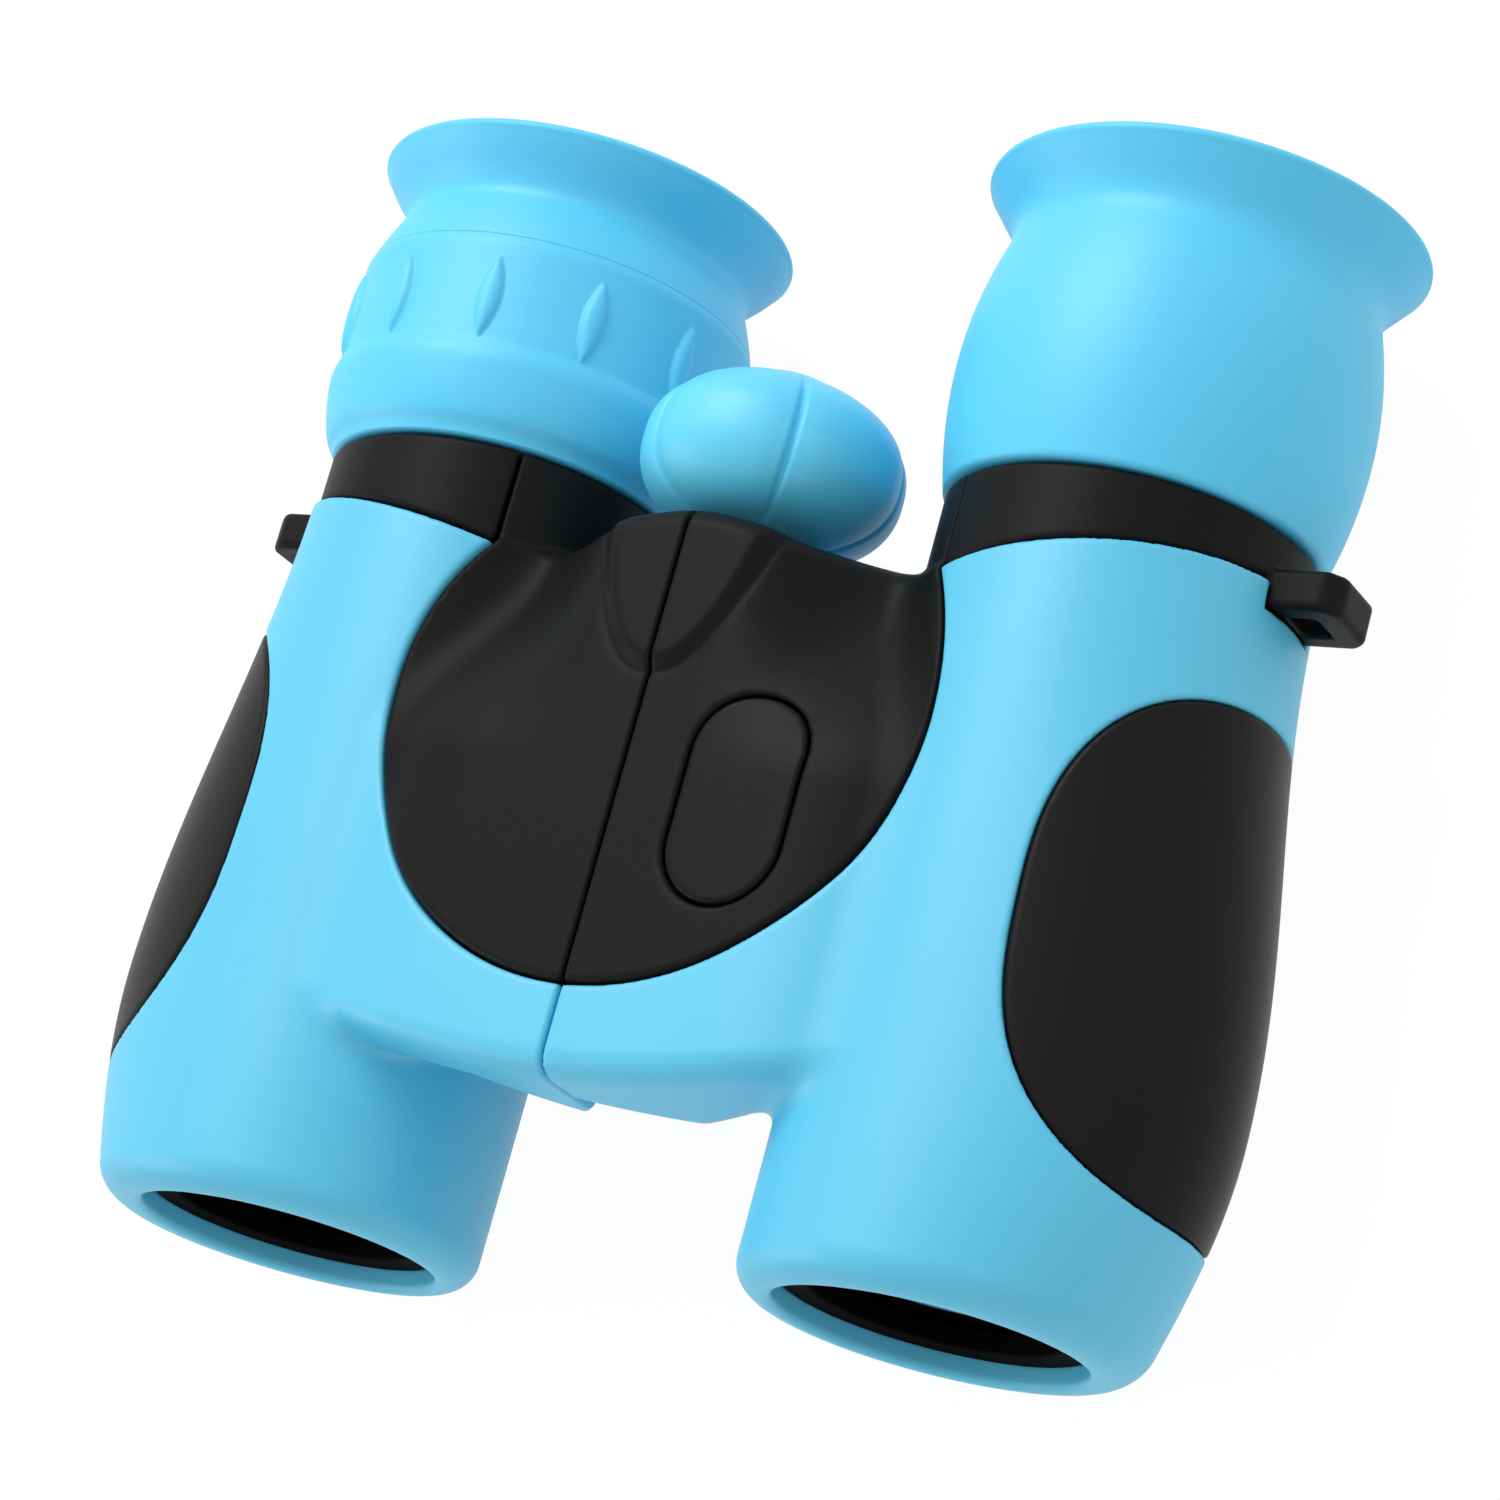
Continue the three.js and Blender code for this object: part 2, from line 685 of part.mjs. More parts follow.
function objectiveRing() {
  const flangeEnd = ringFlangeStation + ringFlangeThickness;
  const lensSeat = objectiveStation + lensSag - clearance;
  const lensHold = lensRadius + clearance;
  return turned([
    [lensRadius - lensLip, ringFlangeStation + ringFlangeDish], [ringFlangeRadius, ringFlangeStation],
    [ringFlangeRadius, flangeEnd], [innerFit, flangeEnd], [innerFit, flangeEnd + ringLength],
    [lensHold, flangeEnd + ringLength], [lensHold, lensSeat], [lensRadius - lensLip, lensSeat],
  ], halfSpacing, 0, smallSides);
}

function objectiveLens() {
  return lens(lensRadius, objectiveStation, objectiveThickness);
}

function prismHolder() {
  const half = [prismWidth / 2 + clearance, prismHeight / 2 + clearance];
  return disc(innerFit, holderStart, holderStart + holderLength, halfSpacing, 0, smallSides)
    .subtract(box(
      [halfSpacing - half[0], halfSpacing + half[0]], [0, far], [-half[1], half[1]]));
}

function prismBlock(pairs) {
  return pushedAlongX(outline(pairs), halfSpacing - prismWidth / 2, halfSpacing + prismWidth / 2);
}

function halfPrism() {
  const [low, high] = [-prismHeight / 2, prismHeight / 2];
  const start = holderStart + clearance;
  const foot = start + halfPrismFace;
  return prismBlock([[start, low], [foot, low], [foot + prismSlant, high], [start, high]]);
}

function roofPrism() {
  const [low, high] = [-prismHeight / 2, prismHeight / 2];
  const foot = holderStart + clearance + halfPrismFace + prismAirGap;
  const end = holderStart + holderLength - clearance;
  const block = prismBlock([[foot, low], [end, low], [end, high], [foot + prismSlant, high]]);
  const [left, right] = [halfSpacing - prismWidth / 2, halfSpacing + prismWidth / 2];
  const roof = outline([
    [left, high - roofDepth], [halfSpacing, high], [right, high - roofDepth],
    [right, low], [left, low],
  ]);
  return block.intersect(pushedAlongY(roof, 0, far));
}

function focusLens() {
  return lens(lensRadius - clearance, shuttleStation + clearance, focusLensThickness);
}

function eyepieceTube() {
  const bore = eyepieceSleeveRadius - eyepieceWall;
  const lipStart = eyepieceEnd - eyeLensLip;
  return turned([
    [bore - eyeLensLip, eyepieceStart], [innerFit, eyepieceStart], [innerFit, eyepieceShoulder],
    [eyepieceSleeveRadius, eyepieceShoulder], [eyepieceSleeveRadius, eyepieceEnd],
    [bore - eyeLensLip, eyepieceEnd], [bore - eyeLensLip, lipStart], [bore, lipStart],
    [bore, fieldLensStation - clearance], [bore - eyeLensLip, fieldLensStation - clearance],
  ], halfSpacing, 0, smallSides);
}

function fieldLens() {
  return lens(eyepieceSleeveRadius - eyepieceWall - clearance, fieldLensStation, focusLensThickness);
}

function eyeLens() {
  return lens(eyepieceSleeveRadius - eyepieceWall - clearance, eyeLensStation, eyeLensThickness);
}

// Soft eyecups and the diopter ring

// Neck, flared flange and inner bowl that both eyecups end in.
function flareProfile() {
  const rise = eyecupEnd - neckStation;
  const flared = [0, 0.2, 0.4, 0.6, 0.8].map((part) => [
    neckRadius + flangeReach * smooth(part), neckStation + part * rise,
  ]);
  return [
    ...flared,
    [flangeRadius, eyecupEnd - flangeEdge / 2],
    [flangeRadius - flangeEdge, eyecupEnd],
    [neckRadius, (neckStation + eyecupEnd) / 2],
    [(cupBore + neckRadius) / 2, neckStation],
    [cupBore, bowlFloorStation],
  ];
}

function bellyRadius(y) {
  const below = (cupBellyStation - y) / (cupBellyStation - eyecupStart);
  const above = (y - cupBellyStation) / (neckStation - cupBellyStation);
  return y < cupBellyStation
    ? cupBellyRadius - (cupBellyRadius - cupBaseRadius) * below ** 2
    : cupBellyRadius - cupBellyRise * above ** 2;
}

function plainEyecup() {
  const rise = neckStation - eyecupStart;
  const belly = [0, 0.12, 0.26, 0.46, 0.62, 0.78, 0.9].map((part) => {
    const y = eyecupStart + part * rise;
    return [bellyRadius(y), y];
  });
  return turned([[cupBore, eyecupStart], ...belly, ...flareProfile()]);
}

function shortEyecup() {
  const start = ringEnd + clearance;
  const shoulder = [0, 0.5].map((part) => [
    ringWaistRadius + (neckRadius - ringWaistRadius) * part, start + part ** 2 * (neckStation - start),
  ]);
  return turned([[cupBore, start], ...shoulder, ...flareProfile()]);
}

// A band, a shallow waist with raised leaf-shaped ribs, and a shoulder under the eyecup.
function diopterRing() {
  const bandRise = ringBandEnd - eyecupStart;
  const band = [0, 0.3, 0.65, 0.9].map((part) => [
    ringBandRadius - (ringBandRadius - cupBaseRadius) * (1 - part) ** 2, eyecupStart + part * bandRise,
  ]);
  const body = turned([
    [cupBore, eyecupStart], ...band, [ringBandRadius, ringBandEnd],
    [ringWaistRadius, ringBandEnd + 2 * ringStep], [ringWaistRadius, ringEnd - ringStep],
    [ringWaistRadius - ringStep, ringEnd], [cupBore, ringEnd],
  ]);
  let ring = body;
  for (let i = 0; i < ribCount; i += 1) {
    const leaf = new THREE.SphereGeometry(1, 6, 4);
    leaf.scale(ribHeight, ribLength / 2, ribWidth / 2);
    leaf.translate(ringWaistRadius, ribStation, 0);
    leaf.rotateY((2 * Math.PI * (i + 0.5)) / ribCount);
    leaf.translate(halfSpacing, 0, 0);
    ring = ring.add(solidFrom(leaf));
  }
  return ring;
}

// Finishes

const finish = (color, roughness) => new THREE.MeshStandardMaterial({ color, roughness, metalness: 0 });
const blueRubber = finish(0x5fcbf7, 0.55);
const blackRubber = finish(0x2a2a2c, 0.6);
const blackPlastic = finish(0x1b1b1d, 0.5);
const glass = finish(0xbfd4dc, 0.05);
const steel = new THREE.MeshStandardMaterial({ color: 0xb9bcc0, roughness: 0.35, metalness: 1 });
const brass = new THREE.MeshStandardMaterial({ color: 0xc9a24e, roughness: 0.4, metalness: 1 });

const binoculars = new THREE.Group();
binoculars.position.set(0, -eyecupEnd / 2, flangeRadius);

function place(name, solid, material) {
  const { vertProperties, triVerts } = solid.getMesh();
  const geometry = new THREE.BufferGeometry();
  geometry.setAttribute('position', new THREE.BufferAttribute(vertProperties, 3));
  geometry.setIndex(new THREE.BufferAttribute(triVerts, 1));
  geometry.computeVertexNormals();
  const mesh = new THREE.Mesh(geometry, material);
  mesh.name = name;
  binoculars.add(mesh);
}

// Pieces that both barrels have, the right one mirrored
const sides = [
  { name: 'left', onSide: (solid) => solid, deep: true, frontPlace: 0, rearPlaces: [0, 2] },
  { name: 'right', onSide: mirrored, deep: false, frontPlace: 1, rearPlaces: [1] },
];
for (const { name, onSide, deep, frontPlace, rearPlaces } of sides) {
  place(`${name}_housing`, onSide(housing(deep, frontPlace, rearPlaces)), blackPlastic);
  place(`${name}_armour`, onSide(armour(deep)), blueRubber);
  place(`${name}_top_cover`, onSide(topCover(deep)), blackPlastic);
  place(`${name}_side_grip`, onSide(sideGrip()), blackRubber);
  place(`${name}_strap_collar`, onSide(strapCollar()), blackPlastic);
  place(`${name}_objective_ring`, onSide(objectiveRing()), blackPlastic);
  place(`${name}_objective_lens`, onSide(objectiveLens()), glass);
  place(`${name}_prism_holder`, onSide(prismHolder()), blackPlastic);
  place(`${name}_half_prism`, onSide(halfPrism()), glass);
  place(`${name}_roof_prism`, onSide(roofPrism()), glass);
  place(`${name}_focus_cell`, onSide(focusCell()), blackPlastic);
  place(`${name}_focus_lens`, onSide(focusLens()), glass);
  place(`${name}_eyepiece_tube`, onSide(eyepieceTube()), blackPlastic);
  place(`${name}_field_lens`, onSide(fieldLens()), glass);
  place(`${name}_eye_lens`, onSide(eyeLens()), glass);
}

// Pieces that differ between the barrels, and the hinge and focus drive on the centre line
place('badge', badge(), blackPlastic);
place('left_eyecup', plainEyecup(), blueRubber);
place('right_eyecup', mirrored(shortEyecup()), blueRubber);
place('diopter_ring', mirrored(diopterRing()), blueRubber);
place('hinge_pin', hingePin(), steel);
place('hinge_bush', hingeBush(), brass);
place('hinge_washer', hingeWasher(), steel);
place('focus_wheel', focusWheel(), blueRubber);
place('focus_spindle', focusSpindle(), brass);
place('focus_wheel_screw', focusWheelScrew(), steel);
place('focus_shuttle', focusShuttle(), brass);

export default binoculars;
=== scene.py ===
# Looks of the children's folding binoculars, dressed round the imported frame.
import json
import math

import bpy
import numpy as np
from mathutils import Matrix, Vector


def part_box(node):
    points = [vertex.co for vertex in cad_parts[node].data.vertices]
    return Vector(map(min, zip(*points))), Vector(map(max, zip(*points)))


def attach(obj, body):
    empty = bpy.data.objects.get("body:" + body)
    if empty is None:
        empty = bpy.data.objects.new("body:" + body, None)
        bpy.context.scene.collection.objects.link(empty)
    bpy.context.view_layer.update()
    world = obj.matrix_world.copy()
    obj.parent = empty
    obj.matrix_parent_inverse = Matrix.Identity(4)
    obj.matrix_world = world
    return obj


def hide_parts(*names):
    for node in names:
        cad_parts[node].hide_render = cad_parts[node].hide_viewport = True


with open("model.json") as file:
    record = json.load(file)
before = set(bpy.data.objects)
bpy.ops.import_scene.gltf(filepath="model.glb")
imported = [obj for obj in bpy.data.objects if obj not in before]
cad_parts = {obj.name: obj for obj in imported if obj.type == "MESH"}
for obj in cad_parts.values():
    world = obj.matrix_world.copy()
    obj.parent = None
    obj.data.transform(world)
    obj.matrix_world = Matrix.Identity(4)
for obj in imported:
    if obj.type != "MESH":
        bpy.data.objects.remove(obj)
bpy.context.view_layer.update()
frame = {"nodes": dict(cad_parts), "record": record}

# The forms below are worked out in millimetres from the objective rims (y = 0) and the optical axes
# (z = 0), and are put in the row's frame, in metres, when a mesh is made.
MM = 0.001


def span(node, axis):
    """Low and high end of a node along an axis."""
    low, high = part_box(node)
    return low[axis] / MM, high[axis] / MM


def middle(node, axis):
    return sum(span(node, axis)) / 2


def half(node, axis):
    low, high = span(node, axis)
    return (high - low) / 2


RIM_Y = span("left_armour", 1)[0]
AXIS_Z = middle("left_objective_lens", 2)
HALF_SPACING = middle("left_objective_lens", 0)
HINGE_Z = middle("hinge_bush", 2) - AXIS_Z
CUP_END = span("left_eyecup", 1)[1] - RIM_Y
CUP_START = span("left_eyecup", 1)[0] - RIM_Y
FLANGE_R = half("left_eyecup", 0)
RING_END = span("diopter_ring", 1)[1] - RIM_Y
WHEEL_Y = middle("focus_wheel", 1) - RIM_Y
WHEEL_R = half("focus_wheel", 2)
WHEEL_HALF = half("focus_wheel", 1)
COLLAR_END = span("left_strap_collar", 1)[1] - RIM_Y

# Strap lugs
LUG_SHORTER = 0.4
LUG_TIP = span("left_strap_collar", 0)[1] - HALF_SPACING - LUG_SHORTER
LUG_Y = 59.8
LUG_THICK = 3.3
LUG_HALF = 4.0
LUG_ROOT = 13.0
LUG_SEAT = 0.3
LUG_EDGE = 0.5
LUG_CORNER = 1.3
LUG_CORNER_EDGE = 0.4
LUG_BLEND = 0.4
DIAGONAL = 0.7071
SLOT_OUT = 17.0
SLOT_HALF_WIDTH = 1.25
SLOT_HALF_HEIGHT = 1.7
SLOT_ROUND = 0.4
SLOT_EDGE = 0.25

# Barrel and armour
BARREL_R = 15.6
SWELL = 5.1
SWELL_Y = 20.0
SWELL_LEAD = 1.5
SWELL_TAIL = 44.0
LIP_ROUND = 2.6
LIP_START = 2.0
LIP_STEP = 0.5
OPENING_R = 12.4
OPENING_ROUND = 0.6
TUBE_BORE_R = 13.6
RIM_STATION = 59.3
RIM_SLOPE = 0.17
SKIN = 2.0
HOLLOW_SHIFT = 0.6
SEAM = 0.12
SEAM_EDGE = 0.1
EDGE = 0.3
PAST_RIM_R = 20.7

# Bridge
BRIDGE_TOP = 16.5
BRIDGE_FLOOR = -7.0
BRIDGE_FRONT = 12.4
FRONT_BOW = 0.006
FRONT_ROUND = 1.9
NOSE_LEVEL = 9.5
NOSE_DROP = 4.5
NOSE_RETURN = 3.5
NOSE_X = 8.8
NOSE_REACH = 16.8
CHIN_LEVEL = 5.0
CHIN_RISE = 6.0
NOSE_SLOPE = 1.6
FLOOR_ROUND = 0.8
RELIEF_SLOPE = 1.1
SHOULDER_X = 14.0
SHOULDER_WIDTH = 10.0
SHOULDER_DROP = 2.3
VALLEY_Y = 38.0
VALLEY_X = 17.5
HUMP_HALF = 5.0
HUMP_END = 60.3
HUMP_BOW = 1.5
HUMP_REACH = 11.0
HUMP_ROUND = 1.9
VALLEY_DEPTH = 6.5
BRIDGE_BLEND = 2.2
# Sloping faces are scaled so that their fields come near to true distance.
TOP_SCALE = 0.85
FRONT_SCALE = 0.9
FLOOR_SCALE = 0.55
DRIVE_R = 6.1
DRIVE_Y = 19.6

# Covers, tongue, badge and grips
COVER_R = 24.8
COVER_Y = 44.6
COVER_LOW = HINGE_Z
COLLAR_R = 15.2
COLLAR_EDGE = 0.35
BAND_BLEND = 0.8
COLLAR_SEAM = math.radians(127)
TONGUE_WIDTH = 2.55
TONGUE_TIP = 46.6
TONGUE_POWER = 2.3
TONGUE_RISE = 0.6
TONGUE_SLOPE_WIDTH = 1.5
TONGUE_GROOVE_DEPTH = 0.12
TONGUE_GROOVE_PLACE = 0.75
TONGUE_GROOVE_WIDTH = 0.25
BADGE_X = 10.8
BADGE_Y = 36.0
BADGE_HALF_STRAIGHT = 3.7
BADGE_R = 5.0
BADGE_DEPTH = 0.9
GRIP_Y = 30.6
GRIP_HALF_LENGTH = 20.3
GRIP_GIRTH = 17.5
GRIP_HALF_GIRTH = 22.0
GRIP_POWER = 2.65
GRIP_SKIN = 1.2
GRIP_EDGE = 0.35

# Limits that keep divisions safe
SMALL = 1e-6
TINY = 1e-9


# Small helpers for fields of signed distance

def rounded_max(a, b, radius):
    """Both fields at once, with the edge between them rounded off."""
    outside = np.hypot(np.maximum(a + radius, 0), np.maximum(b + radius, 0))
    return np.minimum(np.maximum(a, b), -radius) + outside


def smooth_min(a, b, reach):
    """Either field, with the inner corner between them filled."""
    mix = np.clip(0.5 + 0.5 * (b - a) / reach, 0, 1)
    return b + (a - b) * mix - reach * mix * (1 - mix)


def smooth_step(t):
    t = np.clip(t, 0, 1)
    return t * t * (3 - 2 * t)


# Forms of one half, drawn for the left barrel at +X

def swell(y):
    lead = SWELL * np.sin(math.pi / 2 * np.clip(y + SWELL_LEAD, 0, None) / (SWELL_Y + SWELL_LEAD))
    tail = SWELL * np.cos(math.pi / 2 * np.clip((y - SWELL_Y) / SWELL_TAIL, 0, 1)) ** 2
    return np.where(y < SWELL_Y, lead, tail)


def barrel_side(x, y, z):
    out = x - HALF_SPACING
    wide = BARREL_R + np.where(out > 0, swell(y), 0)
    ratio = np.sqrt((out / wide) ** 2 + (z / BARREL_R) ** 2) + SMALL
    return np.hypot(out, z) * (1 - 1 / ratio)


def bridge_top(x, y, tongue):
    across = np.clip((np.abs(x) - HUMP_HALF) / (VALLEY_X - HUMP_HALF), 0, 1)
    valley = smooth_step((y - VALLEY_Y) / (RIM_STATION - VALLEY_Y))
    dip = VALLEY_DEPTH * np.sin(math.pi / 2 * across) ** 2
    shoulder = np.clip(np.abs(x) - SHOULDER_X, 0, None) / SHOULDER_WIDTH
    height = BRIDGE_TOP - SHOULDER_DROP * shoulder ** 2 - valley * dip
    if tongue:
        out = np.abs(x) / TONGUE_WIDTH
        steep = TONGUE_POWER / TONGUE_WIDTH * out ** (TONGUE_POWER - 1)
        away = (out ** TONGUE_POWER - y + TONGUE_TIP) / np.hypot(1, steep)
        height = height + TONGUE_RISE * smooth_step(0.5 - away / TONGUE_SLOPE_WIDTH)
        groove = np.exp(-((away - TONGUE_GROOVE_PLACE) / TONGUE_GROOVE_WIDTH) ** 2)
        height = height - TONGUE_GROOVE_DEPTH * groove
    return height


def front_at(x):
    return BRIDGE_FRONT + FRONT_BOW * x * x


def bridge_floor(x, y, deep):
    """Underside of the bridge; the deep half carries the long nose, the other one the chin."""
    down = np.clip(np.abs(x) / NOSE_X, 0, 1)
    up = np.clip((np.abs(x) - NOSE_X) / (NOSE_REACH - NOSE_X), 0, 1)
    nose = NOSE_LEVEL - NOSE_DROP * down + NOSE_RETURN * up if deep else CHIN_LEVEL + CHIN_RISE * down
    floor = np.maximum(nose - NOSE_SLOPE * (y - front_at(x)), BRIDGE_FLOOR)
    return floor if deep else np.maximum(floor, HINGE_Z - RELIEF_SLOPE * np.abs(x))


def bridge_body(x, y, z, deep, tongue=False):
    top = TOP_SCALE * (z - bridge_top(x, y, tongue))
    body = rounded_max(top, FRONT_SCALE * (front_at(x) - y), FRONT_ROUND)
    body = rounded_max(body, FLOOR_SCALE * (bridge_floor(x, y, deep) - z), FLOOR_ROUND)
    bow = HUMP_BOW * np.sin(math.pi / 2 * np.clip(np.abs(x) / HUMP_REACH, 0, 1)) ** 2
    body = rounded_max(body, y - HUMP_END + bow, HUMP_ROUND)
    return np.maximum(body, x - HALF_SPACING)


def outer_form(x, y, z, deep, tongue=False, barrel_end=None):
    barrel = barrel_side(x, y, z)
    if barrel_end is not None:
        barrel = rounded_max(barrel, barrel_end, EDGE)
    both = smooth_min(barrel, bridge_body(x, y, z, deep, tongue), BRIDGE_BLEND)
    return rounded_max(both, SEAM - x, SEAM_EDGE)


def rim_plane(x, y):
    return (y - RIM_STATION - RIM_SLOPE * (x - HALF_SPACING)) / math.hypot(1, RIM_SLOPE)


def off_axis(x, z):
    return np.hypot(x - HALF_SPACING, z)


def cover_plan(x, y):
    return np.hypot(x, y - COVER_Y) - COVER_R


def grip_plan(x, y, z):
    """Outline of the grip on the barrel's side: along the barrel and round its girth."""
    girth = GRIP_GIRTH * np.arctan2(z / BARREL_R, (x - HALF_SPACING) / (BARREL_R + swell(y)))
    u = np.abs(y - GRIP_Y) / GRIP_HALF_LENGTH
    v = np.abs(girth) / GRIP_HALF_GIRTH
    ratio = (u ** GRIP_POWER + v ** GRIP_POWER + TINY) ** (1 / GRIP_POWER)
    return np.hypot(y - GRIP_Y, girth) * (1 - 1 / (ratio + SMALL))


def badge_plan(x, y):
    along = np.clip(y - BADGE_Y, -BADGE_HALF_STRAIGHT, BADGE_HALF_STRAIGHT)
    return np.hypot(x - BADGE_X, y - BADGE_Y - along) - BADGE_R


def inner_side(x, z):
    """Below zero in the sector of a collar that faces the hinge."""
    edge_x, edge_z = math.cos(COLLAR_SEAM), math.sin(COLLAR_SEAM)
    return (x - HALF_SPACING) * edge_z - np.abs(z) * edge_x


def lug_block(x, y, z, grow=0.0):
    out = x - HALF_SPACING
    high = np.abs(z) - LUG_HALF - grow
    return np.maximum(np.maximum(high, LUG_Y - grow - y), LUG_ROOT - out)


def room(x, y, z, deep, shift=0.0):
    """Space in the bridge for hinge and focus drive; the shift leaves no sliver at the rim."""
    hollow = bridge_body(x, y - shift, z, deep) + SKIN
    drive = np.maximum(np.hypot(x, z - HINGE_Z) - DRIVE_R, DRIVE_Y - y)
    return np.minimum(hollow, drive)


def armour_field(x, y, z, deep):
    form = outer_form(x, y, z, deep)
    body = rounded_max(form, -y, LIP_ROUND)
    past_rim = np.maximum(-rim_plane(x, y), off_axis(x, z) - PAST_RIM_R)
    body = rounded_max(body, -past_rim, EDGE)
    bore = OPENING_R + (TUBE_BORE_R - OPENING_R) * smooth_step((y - LIP_START) / LIP_STEP)
    body = rounded_max(body, bore - off_axis(x, z), OPENING_ROUND)
    window = np.maximum(cover_plan(x, y) - SEAM, COVER_LOW - z)
    body = rounded_max(body, -window, EDGE)
    pad = np.maximum(-form - GRIP_SKIN - 2 * SEAM, HALF_SPACING - x)
    pad = np.maximum(grip_plan(x, y, z) - SEAM, pad)
    body = rounded_max(body, -pad, EDGE)
    body = np.maximum(body, -room(x, y, z, deep, HOLLOW_SHIFT))
    return rounded_max(body, -lug_block(x, y, z, 2 * SEAM), EDGE)


def cover_field(x, y, z, deep):
    form = outer_form(x, y, z, deep, tongue=True, barrel_end=rim_plane(x, y) - 4 * SEAM)
    plate = rounded_max(form, cover_plan(x, y) + SEAM, EDGE)
    plate = np.maximum(plate, COVER_LOW - z)
    band = rounded_max(off_axis(x, z) - COLLAR_R, y - COLLAR_END, COLLAR_EDGE)
    band = rounded_max(band, inner_side(x, z), EDGE)
    band = np.maximum(band, 2 * SEAM - rim_plane(x, y))
    solid = smooth_min(plate, band, BAND_BLEND)
    solid = np.maximum(solid, TUBE_BORE_R - off_axis(x, z))
    solid = np.maximum(solid, -room(x, y, z, deep))
    if deep:
        bed = np.maximum(badge_plan(x, y) - 2 * SEAM, -form - BADGE_DEPTH - 2 * SEAM)
        solid = rounded_max(solid, -bed, EDGE)
    return solid


def badge_field(x, y, z):
    form = outer_form(x, y, z, True)
    return np.maximum(rounded_max(form, badge_plan(x, y), EDGE), -form - BADGE_DEPTH)


def grip_field(x, y, z, deep):
    form = outer_form(x, y, z, deep)
    pad = rounded_max(form, grip_plan(x, y, z), GRIP_EDGE)
    return np.maximum(np.maximum(pad, -form - GRIP_SKIN), HALF_SPACING - x)


def collar_field(x, y, z, deep):
    ring = rounded_max(off_axis(x, z) - COLLAR_R, y - COLLAR_END, COLLAR_EDGE)
    ring = rounded_max(ring, 2 * SEAM - rim_plane(x, y), EDGE)
    ring = rounded_max(ring, 2 * SEAM - inner_side(x, z), EDGE)
    ring = np.maximum(ring, TUBE_BORE_R - off_axis(x, z))
    out = x - HALF_SPACING
    high = np.abs(z)
    lug = rounded_max(out - LUG_TIP, np.abs(y - LUG_Y - LUG_THICK / 2) - LUG_THICK / 2, LUG_EDGE)
    lug = rounded_max(lug, high - LUG_HALF, LUG_EDGE)
    lug = rounded_max(lug, (out - LUG_TIP + high - LUG_HALF + LUG_CORNER) * DIAGONAL, LUG_CORNER_EDGE)
    slot = rounded_max(np.abs(out - SLOT_OUT) - SLOT_HALF_WIDTH, high - SLOT_HALF_HEIGHT, SLOT_ROUND)
    lug = rounded_max(lug, -slot, SLOT_EDGE)
    lug = np.maximum(lug, TUBE_BORE_R + LUG_SEAT - off_axis(x, z))
    return smooth_min(ring, lug, LUG_BLEND)


# Meshes from fields

CORNERS = [(i, j, k) for i in (0, 1) for j in (0, 1) for k in (0, 1)]
EDGES = [(a, b) for a in range(8) for b in range(a + 1, 8)
         if sum(abs(u - v) for u, v in zip(CORNERS[a], CORNERS[b])) == 1]
RELAX_ROUNDS = 3
SETTLE_ROUNDS = 3
NUDGE = 0.05
LEAST_SLOPE = 0.2
LONGEST_MOVE = 0.3


def field_mesh(field, low, high, step):
    """Points and quads of the surface where the field is zero, on a grid of the given step."""
    axes = [np.arange(lo, hi + step, step) for lo, hi in zip(low, high)]
    values = field(*np.meshgrid(*axes, indexing="ij")).astype(np.float32)
    cells = tuple(n - 1 for n in values.shape)

    def corner(c):
        i, j, k = CORNERS[c]
        return values[i:i + cells[0], j:j + cells[1], k:k + cells[2]]

    inside = sum((corner(c) < 0).astype(np.int8) for c in range(8))
    active = (inside > 0) & (inside < 8)
    total = np.zeros((active.sum(), 3))
    count = np.zeros(active.sum())
    for a, b in EDGES:
        va, vb = corner(a)[active], corner(b)[active]
        cross = (va < 0) != (vb < 0)
        t = np.where(cross, va / np.where(cross, va - vb, 1), 0)
        start = np.array(CORNERS[a], float)
        way = np.array(CORNERS[b], float) - start
        total += cross[:, None] * (start + t[:, None] * way)
        count += cross
    base = np.argwhere(active)
    points = np.array(low) + step * (base + total / count[:, None])
    number = np.full(cells, -1, np.int64)
    number[active] = np.arange(len(base))
    quads = []
    for axis in range(3):
        u, v = (axis + 1) % 3, (axis + 2) % 3
        near = [slice(1, n) for n in cells]
        near[axis] = slice(0, cells[axis])
        far = list(near)
        far[axis] = slice(1, cells[axis] + 1)
        first, second = values[tuple(near)] < 0, values[tuple(far)] < 0
        for sign, mask in ((1, first & ~second), (-1, ~first & second)):
            at = np.argwhere(mask)
            at[:, u] += 1
            at[:, v] += 1
            ring = []
            for du, dv in ((-1, -1), (0, -1), (0, 0), (-1, 0)):
                cell = at.copy()
                cell[:, u] += du
                cell[:, v] += dv
                ring.append(number[cell[:, 0], cell[:, 1], cell[:, 2]])
            quad = np.stack(ring, 1)
            quads.append(quad if sign > 0 else quad[:, ::-1])
    quads = np.concatenate(quads)
    points = settle(field, points, step)
    for _ in range(RELAX_ROUNDS):
        points = settle(field, relaxed(points, quads), step)
    return points, quads


def relaxed(points, quads):
    """Each point half way to the middle of its neighbours."""
    here = quads.ravel()
    count = np.bincount(here, minlength=len(points)) * 2
    total = np.zeros_like(points)
    for turn in (1, -1):
        there = np.roll(quads, turn, 1).ravel()
        for axis in range(3):
            total[:, axis] += np.bincount(here, points[there, axis], len(points))
    return (points + total / np.maximum(count, 1)[:, None]) / 2


